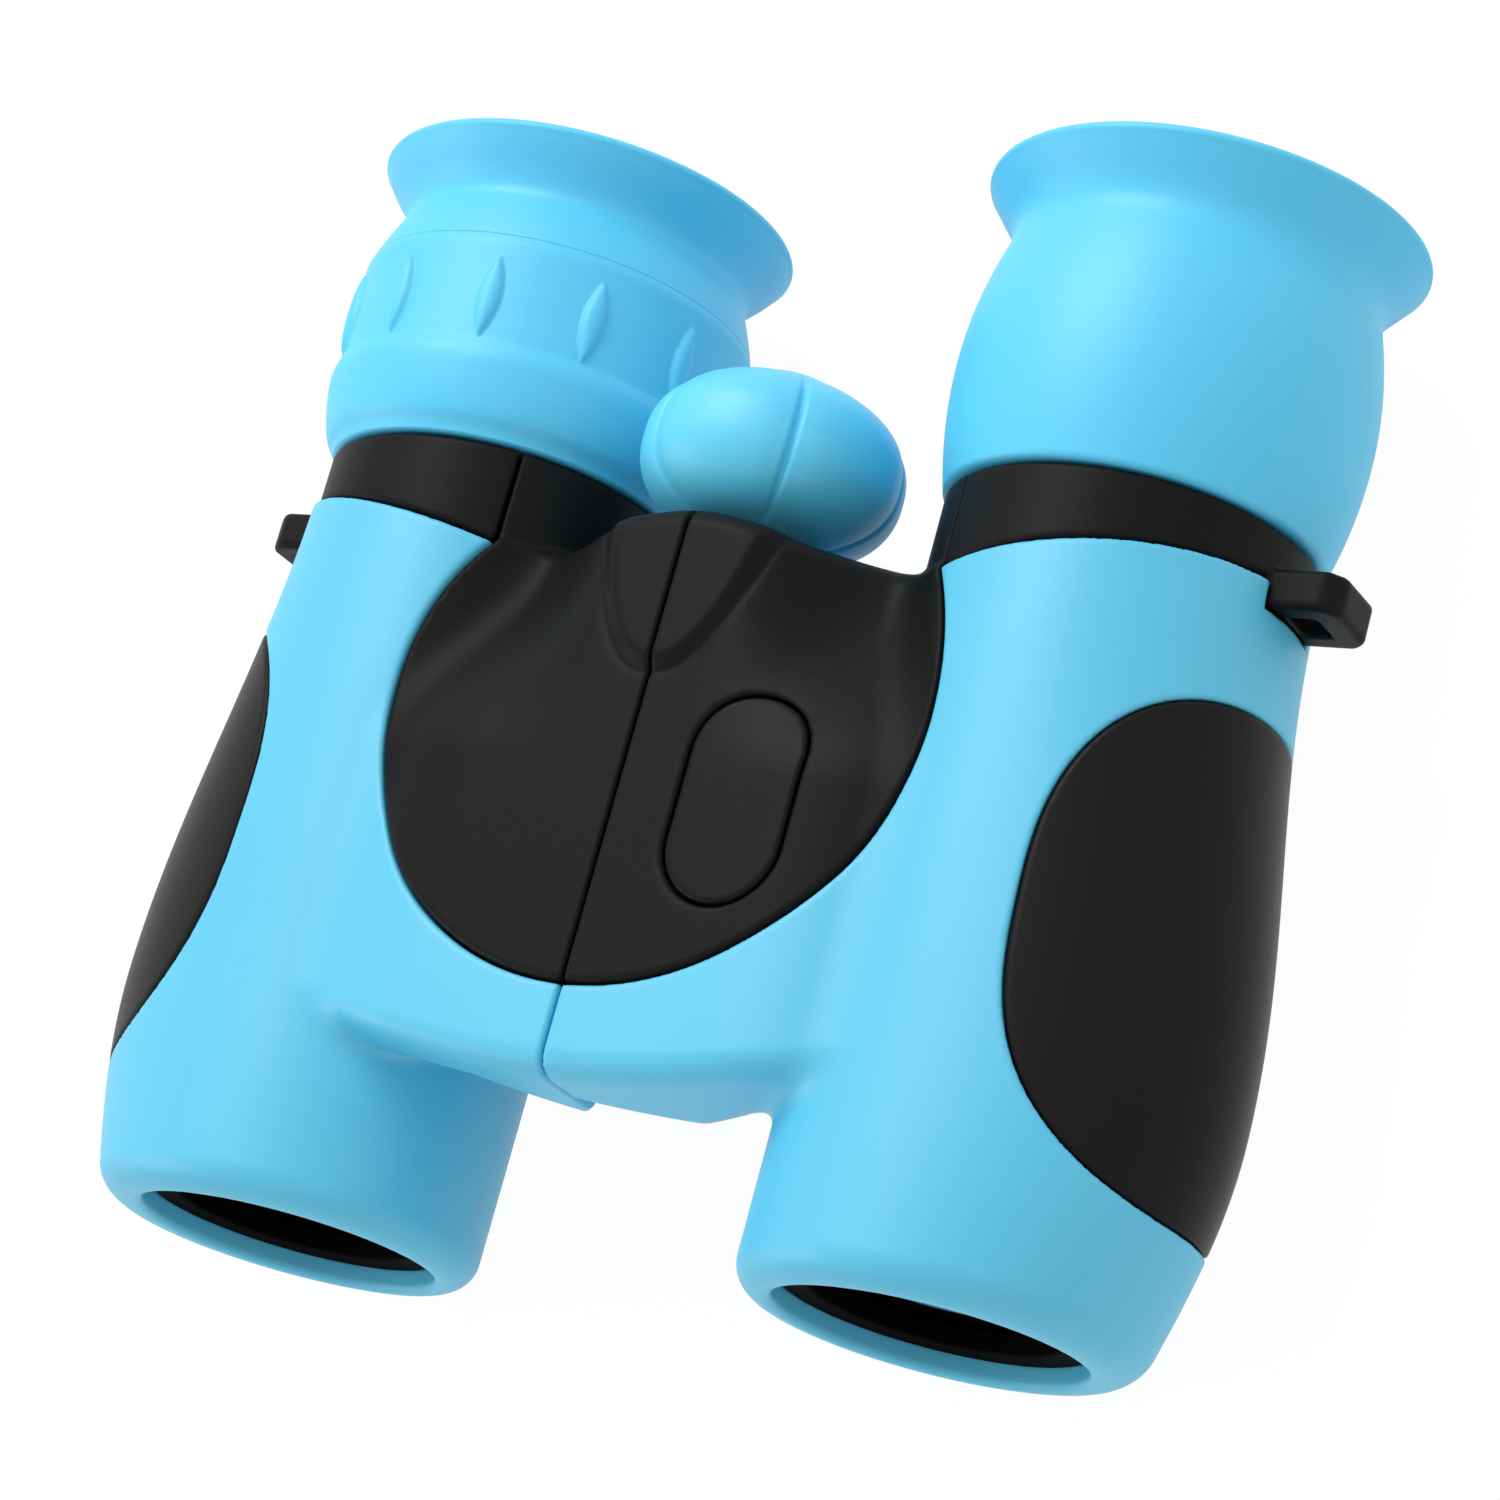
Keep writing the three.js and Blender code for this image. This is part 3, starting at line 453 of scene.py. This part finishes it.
def settle(field, points, step):
    """Moves points on to the surface along the field's slope, a little at a time."""
    for _ in range(SETTLE_ROUNDS):
        value = field(*points.T)
        slope = np.stack([
            field(*(points + NUDGE * np.eye(3)[a]).T) - field(*(points - NUDGE * np.eye(3)[a]).T)
            for a in range(3)], 1) / (2 * NUDGE)
        size = np.maximum((slope ** 2).sum(1), LEAST_SLOPE)
        move = (value / size)[:, None] * slope
        length = np.linalg.norm(move, axis=1, keepdims=True)
        points = points - move * np.minimum(1, LONGEST_MOVE * step / np.maximum(length, TINY))
    return points


def to_row(points):
    return (np.asarray(points, float) + [0, RIM_Y, AXIS_Z]) * MM


def new_piece(name, points, faces, material, body, replaced=(), mirrored=False):
    points = np.array(points, float)
    if mirrored:
        points = points * [-1, 1, 1]
        faces = faces[:, ::-1]
    mesh = bpy.data.meshes.new(name)
    mesh.from_pydata(to_row(points), [], faces)
    mesh.validate()
    mesh.shade_smooth()
    mesh.materials.append(material)
    piece = bpy.data.objects.new(name, mesh)
    bpy.context.scene.collection.objects.link(piece)
    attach(piece, body)
    if replaced:
        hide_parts(*replaced)
    return piece


# Materials

def linear(red, green, blue):
    def channel(value):
        value /= 255
        return value / 12.92 if value <= 0.04045 else ((value + 0.055) / 1.055) ** 2.4
    return channel(red), channel(green), channel(blue), 1.0


def grey(level):
    return linear(level, level, level)


DRIFT_SCALE = 55
DRIFT_DETAIL = 3
GRAIN_DETAIL = 4
GRAIN_HEIGHT = 0.0001


def moulded(name, dark, light, roughness, spread, grain, depth, specular=0.5):
    """A moulded surface: colour that drifts a little, and fine grain in gloss and height."""
    material = bpy.data.materials.new(name)
    material.use_nodes = True
    nodes, links = material.node_tree.nodes, material.node_tree.links
    shader = nodes["Principled BSDF"]
    where = nodes.new("ShaderNodeTexCoord")
    drift = nodes.new("ShaderNodeTexNoise")
    drift.inputs["Scale"].default_value = DRIFT_SCALE
    drift.inputs["Detail"].default_value = DRIFT_DETAIL
    fine = nodes.new("ShaderNodeTexNoise")
    fine.inputs["Scale"].default_value = grain
    fine.inputs["Detail"].default_value = GRAIN_DETAIL
    for noise in (drift, fine):
        links.new(where.outputs["Object"], noise.inputs["Vector"])
    colour = nodes.new("ShaderNodeMix")
    colour.data_type = "RGBA"
    colour.inputs["A"].default_value = dark
    colour.inputs["B"].default_value = light
    links.new(drift.outputs["Fac"], colour.inputs["Factor"])
    links.new(colour.outputs["Result"], shader.inputs["Base Color"])
    rough = nodes.new("ShaderNodeMapRange")
    rough.inputs["To Min"].default_value = roughness - spread
    rough.inputs["To Max"].default_value = roughness + spread
    links.new(fine.outputs["Fac"], rough.inputs["Value"])
    links.new(rough.outputs["Result"], shader.inputs["Roughness"])
    bump = nodes.new("ShaderNodeBump")
    bump.inputs["Strength"].default_value = depth
    bump.inputs["Distance"].default_value = GRAIN_HEIGHT
    links.new(fine.outputs["Fac"], bump.inputs["Height"])
    links.new(bump.outputs["Normal"], shader.inputs["Normal"])
    shader.inputs["Specular IOR Level"].default_value = specular
    return material


def rubber(name, dark, light, roughness):
    return moulded(name, dark, light, roughness, spread=0.05, grain=2600, depth=0.08, specular=0.75)


def glass(name, tint):
    """Coated glass over the dark inside of the barrel."""
    lighter = tuple(1.6 * c for c in tint[:3]) + (1.0,)
    material = moulded(name, tint, lighter, roughness=0.06, spread=0.02, grain=900, depth=0.02)
    shader = material.node_tree.nodes["Principled BSDF"]
    shader.inputs["Coat Weight"].default_value = 1.0
    shader.inputs["Coat Roughness"].default_value = 0.03
    return material


def metal(name, dark, light):
    material = moulded(name, dark, light, roughness=0.35, spread=0.08, grain=1400, depth=0.1)
    material.node_tree.nodes["Principled BSDF"].inputs["Metallic"].default_value = 1.0
    return material


BLUE = rubber("armour_rubber", linear(80, 192, 227), linear(88, 197, 232), 0.48)
# Eyecups and dioptre ring: the blue rubber, made a little lighter than the armour's as painted light.
CUP_BLUE_WITH_PAINTED_LIGHT = rubber("eyecup_rubber_painted_light", linear(77, 201, 242), linear(84, 206, 247), 0.5)
# Focus wheel: the blue rubber, made lighter still as painted light against the wheel's own shade.
WHEEL_BLUE_WITH_PAINTED_LIGHT = rubber("wheel_rubber_painted_light", linear(84, 206, 243), linear(92, 210, 247), 0.48)
COVER_BLACK = moulded("cover_plastic", grey(14), grey(18), roughness=0.46, spread=0.06, grain=3200,
                      depth=0.2, specular=0.1)
GRIP_BLACK = moulded("grip_rubber", grey(13), grey(17), roughness=0.42, spread=0.06, grain=3000,
                     depth=0.2, specular=0.13)
BADGE_BLACK = moulded("badge_plastic", grey(14), grey(17), roughness=0.42, spread=0.05, grain=3200,
                      depth=0.15, specular=0.1)
# Inner plastic: black plastic, darkened well past the cover plastic as painted shade inside the bores and
# eyecups.
INNER_BLACK_WITH_PAINTED_SHADE = moulded("inner_plastic_painted_shade", grey(2), grey(4), roughness=0.7, spread=0.08, grain=2000,
                      depth=0.2, specular=0.03)
LENS = glass("coated_glass", linear(3, 3, 6))
STEEL = metal("turned_steel", linear(150, 152, 156), linear(180, 182, 186))
BRASS = metal("turned_brass", linear(176, 140, 70), linear(205, 168, 92))


# Shells of both barrels

# For each side: whether it is the deep half, and whether it is mirrored
SIDES = (("left", True, False), ("right", False, True))
STEP = 0.3
GRIP_STEP = 0.28
BADGE_STEP = 0.25
BADGE_LOW, BADGE_HIGH = (5, 26, 11), (17, 46, 17.4)
# For each shell: its field, the low and high corner of the grid, the grid's step, finish and slot
SHELLS = (
    ("armour", armour_field, (-0.5, -1, -17), (52, 64, 18), STEP, BLUE, "armour_blue"),
    ("top_cover", cover_field, (-0.5, 18, -15), (27, 67.5, 19), STEP, COVER_BLACK, "cover_black"),
    ("side_grip", grip_field, (29, 9, -16), (52, 52, 16), GRIP_STEP, GRIP_BLACK, "grip_black"),
    ("strap_collar", collar_field, (19, 57, -16.5), (52.5, 67.2, 16.5), STEP, COVER_BLACK, "cover_black"),
)
for side, deep, mirror in SIDES:
    for part, field, low, high, step, material, slot in SHELLS:
        points, quads = field_mesh(lambda x, y, z: field(x, y, z, deep), low, high, step)
        new_piece(f"{side}_{part}_shell", points, quads, material, f"{side}_barrel",
                  [f"{side}_{part}"], mirror)
points, quads = field_mesh(badge_field, BADGE_LOW, BADGE_HIGH, BADGE_STEP)
new_piece("badge_plate", points, quads, BADGE_BLACK, "left_barrel", ["badge"])


# Turned pieces

def spline(points, per_span=8):
    """A smooth line through (radius, y) points."""
    pts = np.array(points, float)
    ends = np.vstack([2 * pts[0] - pts[1], pts, 2 * pts[-1] - pts[-2]])
    out = []
    for i in range(1, len(ends) - 2):
        p0, p1, p2, p3 = ends[i - 1:i + 3]
        for s in np.arange(per_span) / per_span:
            out.append(0.5 * (2 * p1 + (p2 - p0) * s + (2 * p0 - 5 * p1 + 4 * p2 - p3) * s ** 2
                              + (3 * p1 - p0 - 3 * p2 + p3) * s ** 3))
    out.append(ends[-2])
    return [tuple(p) for p in out]


def turned(name, profile, material, body, replaced, x=HALF_SPACING, z=0.0, around=144, relief=None):
    """A closed profile of (radius, y) turned about a line along Y; relief changes the radius by place."""
    angles = np.linspace(0, 2 * math.pi, around, endpoint=False)
    rings = [p for p in profile if p[0] > 0]
    solid = len(rings) < len(profile)
    radius = np.array([p[0] for p in rings])[:, None] * np.ones(around)
    y = np.array([p[1] for p in rings])[:, None] * np.ones(around)
    if relief is not None:
        radius = radius + relief(angles[None, :], y, radius)
    points = np.stack([x + radius * np.cos(angles), y, z + radius * np.sin(angles)], 2).reshape(-1, 3)
    here = np.arange(around)
    after = (here + 1) % around
    faces = []
    for row in range(len(rings) - (1 if solid else 0)):
        low, high = row * around, (row + 1) % len(rings) * around
        faces.append(np.stack([low + here, high + here, high + after, low + after], 1))
    faces = np.concatenate(faces).tolist()
    if solid:
        first, last = len(points), len(points) + 1
        points = np.vstack([points, [x, profile[0][1], z], [x, profile[-1][1], z]])
        end = (len(rings) - 1) * around
        faces += [(first, int(i), int(j)) for i, j in zip(here, after)]
        faces += [(last, int(end + j), int(end + i)) for i, j in zip(here, after)]
    return new_piece(name, points, faces, material, body, replaced)


# Eyecups and dioptre ring. The profiles run as (radius, y) from the base to the flange and back inside.
SLEEVE_R = 12.8
CHAMFER = 0.3
NECK_R = 15.1
NECK_Y = CUP_END - 5.2
BOWL_Y = NECK_Y - 2.2
BELLY_R = 17.1
BELLY_Y = 77.5
BASE_R = 15.5
SIDE_END = CUP_END - 0.8
SIDE_STATIONS = 120
PLAIN_START = CUP_START + 0.35
PLAIN_PASSES = 36
SHOULDER_R = 17.05
SHOULDER_POWER = 1.15
SHORT_START = RING_END + 0.02
SHORT_PASSES = 60
SHORT_EDGE = 0.03
WAIST_R = 17.15
BAND_R = 17.45


def flange_at(y):
    return NECK_R + (FLANGE_R - NECK_R) * smooth_step((y - NECK_Y) / (CUP_END - NECK_Y))


def soft_side(radius_at, start, passes):
    """Outside of a cup from its start to the flange, with the neck drawn soft."""
    stations = np.linspace(start, SIDE_END, SIDE_STATIONS)
    radius = radius_at(stations)
    for _ in range(passes):
        radius[1:-1] = (radius[:-2] + 2 * radius[1:-1] + radius[2:]) / 4
    return list(zip(radius.tolist(), stations.tolist()))


def bowl():
    """Soft edge of the flange and the bowl back down to the eyepiece."""
    rise = CUP_END - NECK_Y
    return spline([
        (FLANGE_R - 0.02, CUP_END - 0.62), (FLANGE_R, CUP_END - 0.4), (FLANGE_R - 0.12, CUP_END - 0.16),
        (FLANGE_R - 0.38, CUP_END), (FLANGE_R - 0.75, CUP_END - 0.08), (FLANGE_R - 1.3, CUP_END - 0.7),
        (NECK_R + 1.0, NECK_Y + 0.62 * rise), (NECK_R - 0.2, NECK_Y + 0.36 * rise),
        (NECK_R - 1.2, NECK_Y), (SLEEVE_R + 0.5, BOWL_Y + 0.7), (SLEEVE_R, BOWL_Y)])


def belly(y):
    below = (BELLY_Y - y) / (BELLY_Y - CUP_START)
    above = (y - BELLY_Y) / (NECK_Y - BELLY_Y)
    return np.where(y < BELLY_Y, BELLY_R - (BELLY_R - BASE_R) * below ** 2,
                    BELLY_R - (BELLY_R - NECK_R) * above ** 2)


def plain_cup():
    side = soft_side(lambda y: np.where(y < NECK_Y, belly(y), flange_at(y)), PLAIN_START, PLAIN_PASSES)
    start = [(SLEEVE_R, CUP_START + CHAMFER), (SLEEVE_R + CHAMFER, CUP_START), (BASE_R - 0.4, CUP_START),
             (BASE_R - 0.12, CUP_START + 0.1)]
    return start + side + bowl()


def short_cup():
    def shoulder(y):
        rise = np.clip((y - SHORT_START) / (NECK_Y - SHORT_START), 0, 1)
        drop = (SHOULDER_R - NECK_R) * rise ** SHOULDER_POWER
        return np.where(y < NECK_Y, SHOULDER_R - drop, flange_at(y))

    side = soft_side(shoulder, SHORT_START + SHORT_EDGE, SHORT_PASSES)
    start = [(SLEEVE_R, SHORT_START + CHAMFER), (SLEEVE_R + CHAMFER, SHORT_START),
             (SHOULDER_R - 0.5, SHORT_START), (SHOULDER_R - SHORT_EDGE, SHORT_START + 0.005)]
    return start + side + bowl()


def ring_profile():
    outside = spline([
        (BASE_R - 0.1, CUP_START + 0.12), (BASE_R + 0.2, CUP_START + 0.75), (16.42, 68.2), (16.97, 69.9),
        (17.33, 71.7), (BAND_R, 72.7), (BAND_R - 0.04, 73.4), (17.28, 73.95), (WAIST_R, 74.5),
        (WAIST_R, 75.6), (WAIST_R, 77.0), (WAIST_R + 0.02, 78.4), (WAIST_R + 0.04, 79.8),
        (WAIST_R + 0.06, 81.2), (WAIST_R + 0.1, 82.4), (WAIST_R + 0.1, 83.3), (SHOULDER_R, RING_END)], 10)
    start = [(SLEEVE_R, RING_END - 0.2), (SLEEVE_R, CUP_START + CHAMFER), (SLEEVE_R + CHAMFER, CUP_START),
             (BASE_R - 0.5, CUP_START)]
    return start + outside + [(16.3, RING_END)]


RIBS = 12
RIB_Y = 78.2
RIB_HALF_LENGTH = 3.75
RIB_HALF_WIDTH = 1.0
RIB_HEIGHT = 0.65


def ribs(angle, y, radius):
    pitch = 2 * math.pi / RIBS
    turn = angle % pitch - pitch / 2
    along = np.clip(1 - ((y - RIB_Y) / RIB_HALF_LENGTH) ** 2, 0, None)
    across = np.clip(1 - (turn * radius / (RIB_HALF_WIDTH * along + SMALL)) ** 2, 0, None)
    return np.where(radius > SLEEVE_R + 1, RIB_HEIGHT * np.sqrt(across * along), 0)


turned("left_eyecup_soft", plain_cup(), CUP_BLUE_WITH_PAINTED_LIGHT, "left_barrel", ["left_eyecup"])
turned("right_eyecup_soft", short_cup(), CUP_BLUE_WITH_PAINTED_LIGHT, "diopter", ["right_eyecup"], -HALF_SPACING)
turned("diopter_ring_soft", ring_profile(), CUP_BLUE_WITH_PAINTED_LIGHT, "diopter", ["diopter_ring"],
       -HALF_SPACING, around=720, relief=ribs)

# Focus wheel
LOBES = 5
WHEEL_TURN = math.radians(52.5)
WHEEL_POWER = 2.4
WHEEL_STATIONS = 81
HUB_R = 4.8
HUB_FACE_R = HUB_R - 1.0
SPINDLE_HOLE_R = 2.35
SCREW_HOLE_R = 3.3
SCREW_HOLE_DEPTH = 1.45
GROOVE_DEPTH = 0.5
GROOVE_WIDTH = 0.3
DISH_DEPTH = 0.22
DISH_WIDTH = 1.5
GROOVE_FADE = 2


def wheel_profile():
    outside = []
    for t in np.linspace(-1, 1, WHEEL_STATIONS):
        bow = WHEEL_R * max(1 - abs(t) ** WHEEL_POWER, 0) ** 0.5
        if bow > HUB_R:
            outside.append((bow, WHEEL_Y + WHEEL_HALF * t))
    low, high = WHEEL_Y - WHEEL_HALF, WHEEL_Y + WHEEL_HALF
    floor_y = high - SCREW_HOLE_DEPTH
    start = [(SPINDLE_HOLE_R, low + 0.4), (SPINDLE_HOLE_R + 0.35, low + 0.1), (HUB_FACE_R, low + 0.05)]
    screw_hole = [(HUB_FACE_R, high - 0.05), (SCREW_HOLE_R + 0.3, high - 0.2),
                  (SCREW_HOLE_R + 0.05, high - 0.5), (SCREW_HOLE_R, floor_y), (SPINDLE_HOLE_R, floor_y)]
    return start + outside + screw_hole


def wheel_grooves(angle, y, radius):
    pitch = 2 * math.pi / LOBES
    turn = (angle - WHEEL_TURN + pitch / 2) % pitch - pitch / 2
    away = turn * radius
    fade = smooth_step((radius - HUB_R) / GROOVE_FADE)
    groove = GROOVE_DEPTH * np.exp(-(away / GROOVE_WIDTH) ** 2)
    dish = DISH_DEPTH * np.exp(-(away / DISH_WIDTH) ** 2)
    return -fade * (groove + dish)


turned("focus_wheel_soft", wheel_profile(), WHEEL_BLUE_WITH_PAINTED_LIGHT, "focus_drive", ["focus_wheel"],
       0.0, HINGE_Z, 720, wheel_grooves)


# Optics seen from outside, on the nodes' own sizes

BODIES = {"left_eyepiece_tube": "left_barrel", "right_eyepiece_tube": "right_eyepiece",
          "left_eye_lens": "left_barrel", "right_eye_lens": "right_eyepiece"}
LENS_STATIONS = 17
OPTIC_AROUND = 96
SHARP_ANGLE = math.radians(25)


def eased(profile, radius):
    """A closed profile with each corner cut back a little."""
    pts = np.array(profile, float)
    out = []
    for before, here, after in zip(np.roll(pts, 1, 0), pts, np.roll(pts, -1, 0)):
        back, on = before - here, after - here
        reach = min(radius, np.linalg.norm(back) / 3, np.linalg.norm(on) / 3)
        out += [here + back * reach / np.linalg.norm(back), here + on * reach / np.linalg.norm(on)]
    return [tuple(p) for p in out]


def lens_profile(radius, low, high, sag):
    rise = [(radius * t, low + sag * t * t) for t in np.linspace(0, 1, LENS_STATIONS)]
    fall = [(radius * t, high - sag * t * t) for t in np.linspace(1, 0, LENS_STATIONS)]
    return rise + fall


def optic(part, profile, material):
    for side, place in (("left", HALF_SPACING), ("right", -HALF_SPACING)):
        node = f"{side}_{part}"
        piece = turned(f"{node}_turned", profile, material, BODIES.get(node, f"{side}_barrel"), [node],
                       place, around=OPTIC_AROUND)
        piece.data.set_sharp_from_angle(angle=SHARP_ANGLE)


LENS_R = half("left_objective_lens", 0)
LENS_Y, LENS_END = (v - RIM_Y for v in span("left_objective_lens", 1))
RING_FRONT, RING_BACK = (v - RIM_Y for v in span("left_objective_ring", 1))
RING_FLANGE_R = half("left_objective_ring", 0)
TUBE_FRONT, TUBE_END = (v - RIM_Y for v in span("left_eyepiece_tube", 1))
TUBE_R = half("left_eyepiece_tube", 0)
EYE_Y, EYE_END = (v - RIM_Y for v in span("left_eye_lens", 1))
EYE_R = half("left_eye_lens", 0)
LENS_SAG = 1.1
FLANGE = 0.7
FIT_R = 11.7
PLAY = 0.3
LIP = 0.4
EYE_HOLE_R = EYE_R - 0.7
EYE_SEAT = EYE_END + 0.4
TUBE_STEP = CUP_START + 1.0
TUBE_WALL = TUBE_FRONT + 1.7
OPTIC_EASE = 0.15

optic("objective_ring", eased([
    (LENS_R - LIP, RING_FRONT + PLAY), (RING_FLANGE_R, RING_FRONT), (RING_FLANGE_R, RING_FRONT + FLANGE),
    (FIT_R, RING_FRONT + FLANGE), (FIT_R, RING_BACK), (LENS_R + PLAY, RING_BACK),
    (LENS_R + PLAY, LENS_Y + LENS_SAG - PLAY), (LENS_R - LIP, LENS_Y + LENS_SAG - PLAY)], OPTIC_EASE),
    INNER_BLACK_WITH_PAINTED_SHADE)
optic("objective_lens", lens_profile(LENS_R, LENS_Y, LENS_END, LENS_SAG), LENS)
optic("eyepiece_tube", eased([
    (EYE_HOLE_R, TUBE_FRONT), (FIT_R, TUBE_FRONT), (FIT_R, TUBE_STEP), (TUBE_R, TUBE_STEP),
    (TUBE_R, TUBE_END), (EYE_HOLE_R, TUBE_END), (EYE_HOLE_R, EYE_SEAT), (EYE_R + PLAY, EYE_SEAT),
    (EYE_R + PLAY, TUBE_WALL), (EYE_HOLE_R, TUBE_WALL)], OPTIC_EASE), INNER_BLACK_WITH_PAINTED_SHADE)
optic("eye_lens", lens_profile(EYE_R, EYE_Y, EYE_END, LENS_SAG), LENS)

# Carried-over pieces get their finish
FINISHES = {"inner_black": INNER_BLACK_WITH_PAINTED_SHADE, "lens_glass": LENS, "steel": STEEL, "brass": BRASS,
            "cover_black": COVER_BLACK, "badge_black": BADGE_BLACK, "grip_black": GRIP_BLACK,
            "armour_blue": BLUE, "eyecup_blue": CUP_BLUE_WITH_PAINTED_LIGHT, "wheel_blue": WHEEL_BLUE_WITH_PAINTED_LIGHT}
for row in frame["record"]["subparts"]:
    node = frame["nodes"][row["node"]]
    node.data.materials.clear()
    node.data.materials.append(FINISHES[row["material_slot"]])


# Stage, light and camera

PAPER = (0.9, 0.9, 0.9, 1)
PAPER_ROUGHNESS = 0.9
PAPER_GLOW = 1.03
PAPER_SHARE = 0.93
FLOOR_HALF = 3.0
FLOOR_DROP = 0.0005
AMBIENT = 0.66
BACKGROUND = 1.0
# For each lamp: its place and size in metres, and its power in watts
LAMPS = (("overhead", (-0.24, 0.42, 0.64), 0.5, 3.5), ("side", (-0.7, -0.35, 0.35), 0.4, 1.2))
LAMP_TARGET = (0, 0, 0.01)


def background_rays(nodes, links):
    """One for the rays that show the background: the camera's own and those that gloss and glass send on."""
    path = nodes.new("ShaderNodeLightPath")
    seen = path.outputs["Is Camera Ray"]
    for kind in ("Is Glossy Ray", "Is Transmission Ray"):
        either = nodes.new("ShaderNodeMath")
        either.operation = "MAXIMUM"
        links.new(seen, either.inputs[0])
        links.new(path.outputs[kind], either.inputs[1])
        seen = either.outputs[0]
    return seen


def paper(name):
    """White to the camera, with the soft shade of the object kept."""
    material = bpy.data.materials.new(name)
    material.use_nodes = True
    nodes, links = material.node_tree.nodes, material.node_tree.links
    shader = nodes["Principled BSDF"]
    shader.inputs["Base Color"].default_value = PAPER
    shader.inputs["Roughness"].default_value = PAPER_ROUGHNESS
    glow = nodes.new("ShaderNodeEmission")
    glow.inputs["Strength"].default_value = PAPER_GLOW
    share = nodes.new("ShaderNodeMath")
    share.operation = "MULTIPLY"
    share.inputs[1].default_value = PAPER_SHARE
    links.new(background_rays(nodes, links), share.inputs[0])
    mix = nodes.new("ShaderNodeMixShader")
    links.new(share.outputs[0], mix.inputs[0])
    links.new(shader.outputs[0], mix.inputs[1])
    links.new(glow.outputs[0], mix.inputs[2])
    links.new(mix.outputs[0], nodes["Material Output"].inputs["Surface"])
    return material


def floor():
    mesh = bpy.data.meshes.new("floor")
    corners = [(FLOOR_HALF * x, FLOOR_HALF * y, 0) for x, y in ((-1, -1), (1, -1), (1, 1), (-1, 1))]
    mesh.from_pydata(corners, [], [(0, 1, 2, 3)])
    mesh.materials.append(paper("paper"))
    obj = bpy.data.objects.new("floor", mesh)
    bpy.context.scene.collection.objects.link(obj)
    obj.location.z = -FLOOR_DROP


def lamp(name, place, size, power):
    data = bpy.data.lights.new(name, "AREA")
    data.shape = "DISK"
    data.size = size
    data.energy = power
    obj = bpy.data.objects.new(name, data)
    obj.location = place
    obj.rotation_euler = (Vector(LAMP_TARGET) - Vector(place)).to_track_quat("-Z", "Y").to_euler()
    bpy.context.scene.collection.objects.link(obj)


def studio():
    world = bpy.data.worlds.new("studio")
    world.use_nodes = True
    nodes, links = world.node_tree.nodes, world.node_tree.links
    backdrop = nodes["Background"]
    backdrop.inputs["Color"].default_value = (1, 1, 1, 1)
    level = nodes.new("ShaderNodeMapRange")
    level.inputs["To Min"].default_value = AMBIENT
    level.inputs["To Max"].default_value = BACKGROUND
    links.new(background_rays(nodes, links), level.inputs["Value"])
    links.new(level.outputs["Result"], backdrop.inputs["Strength"])
    bpy.context.scene.world = world
    for row in LAMPS:
        lamp(*row)


CAMERA_PLACE = (207.25, -73.01, 322.96)
CAMERA_WAY = (-0.5148, 0.2966, -0.8043)
CAMERA_UP = (-0.0700, 0.9206, 0.3843)
FOCAL_PIXELS = 4943.3
PHOTO_PIXELS = 1500
SENSOR = 36.0
CLIP_START = 0.01


def camera():
    data = bpy.data.cameras.new("camera")
    data.sensor_width = SENSOR
    data.lens = FOCAL_PIXELS / PHOTO_PIXELS * SENSOR
    data.clip_start = CLIP_START
    obj = bpy.data.objects.new("camera", data)
    back = -Vector(CAMERA_WAY).normalized()
    right = Vector(CAMERA_UP).cross(back).normalized()
    up = back.cross(right)
    turn = Matrix((right, up, back)).transposed().to_4x4()
    obj.matrix_world = Matrix.Translation(Vector(to_row(CAMERA_PLACE))) @ turn
    bpy.context.scene.collection.objects.link(obj)
    bpy.context.scene.camera = obj


floor()
studio()
camera()
bpy.context.scene.view_settings.view_transform = "Standard"
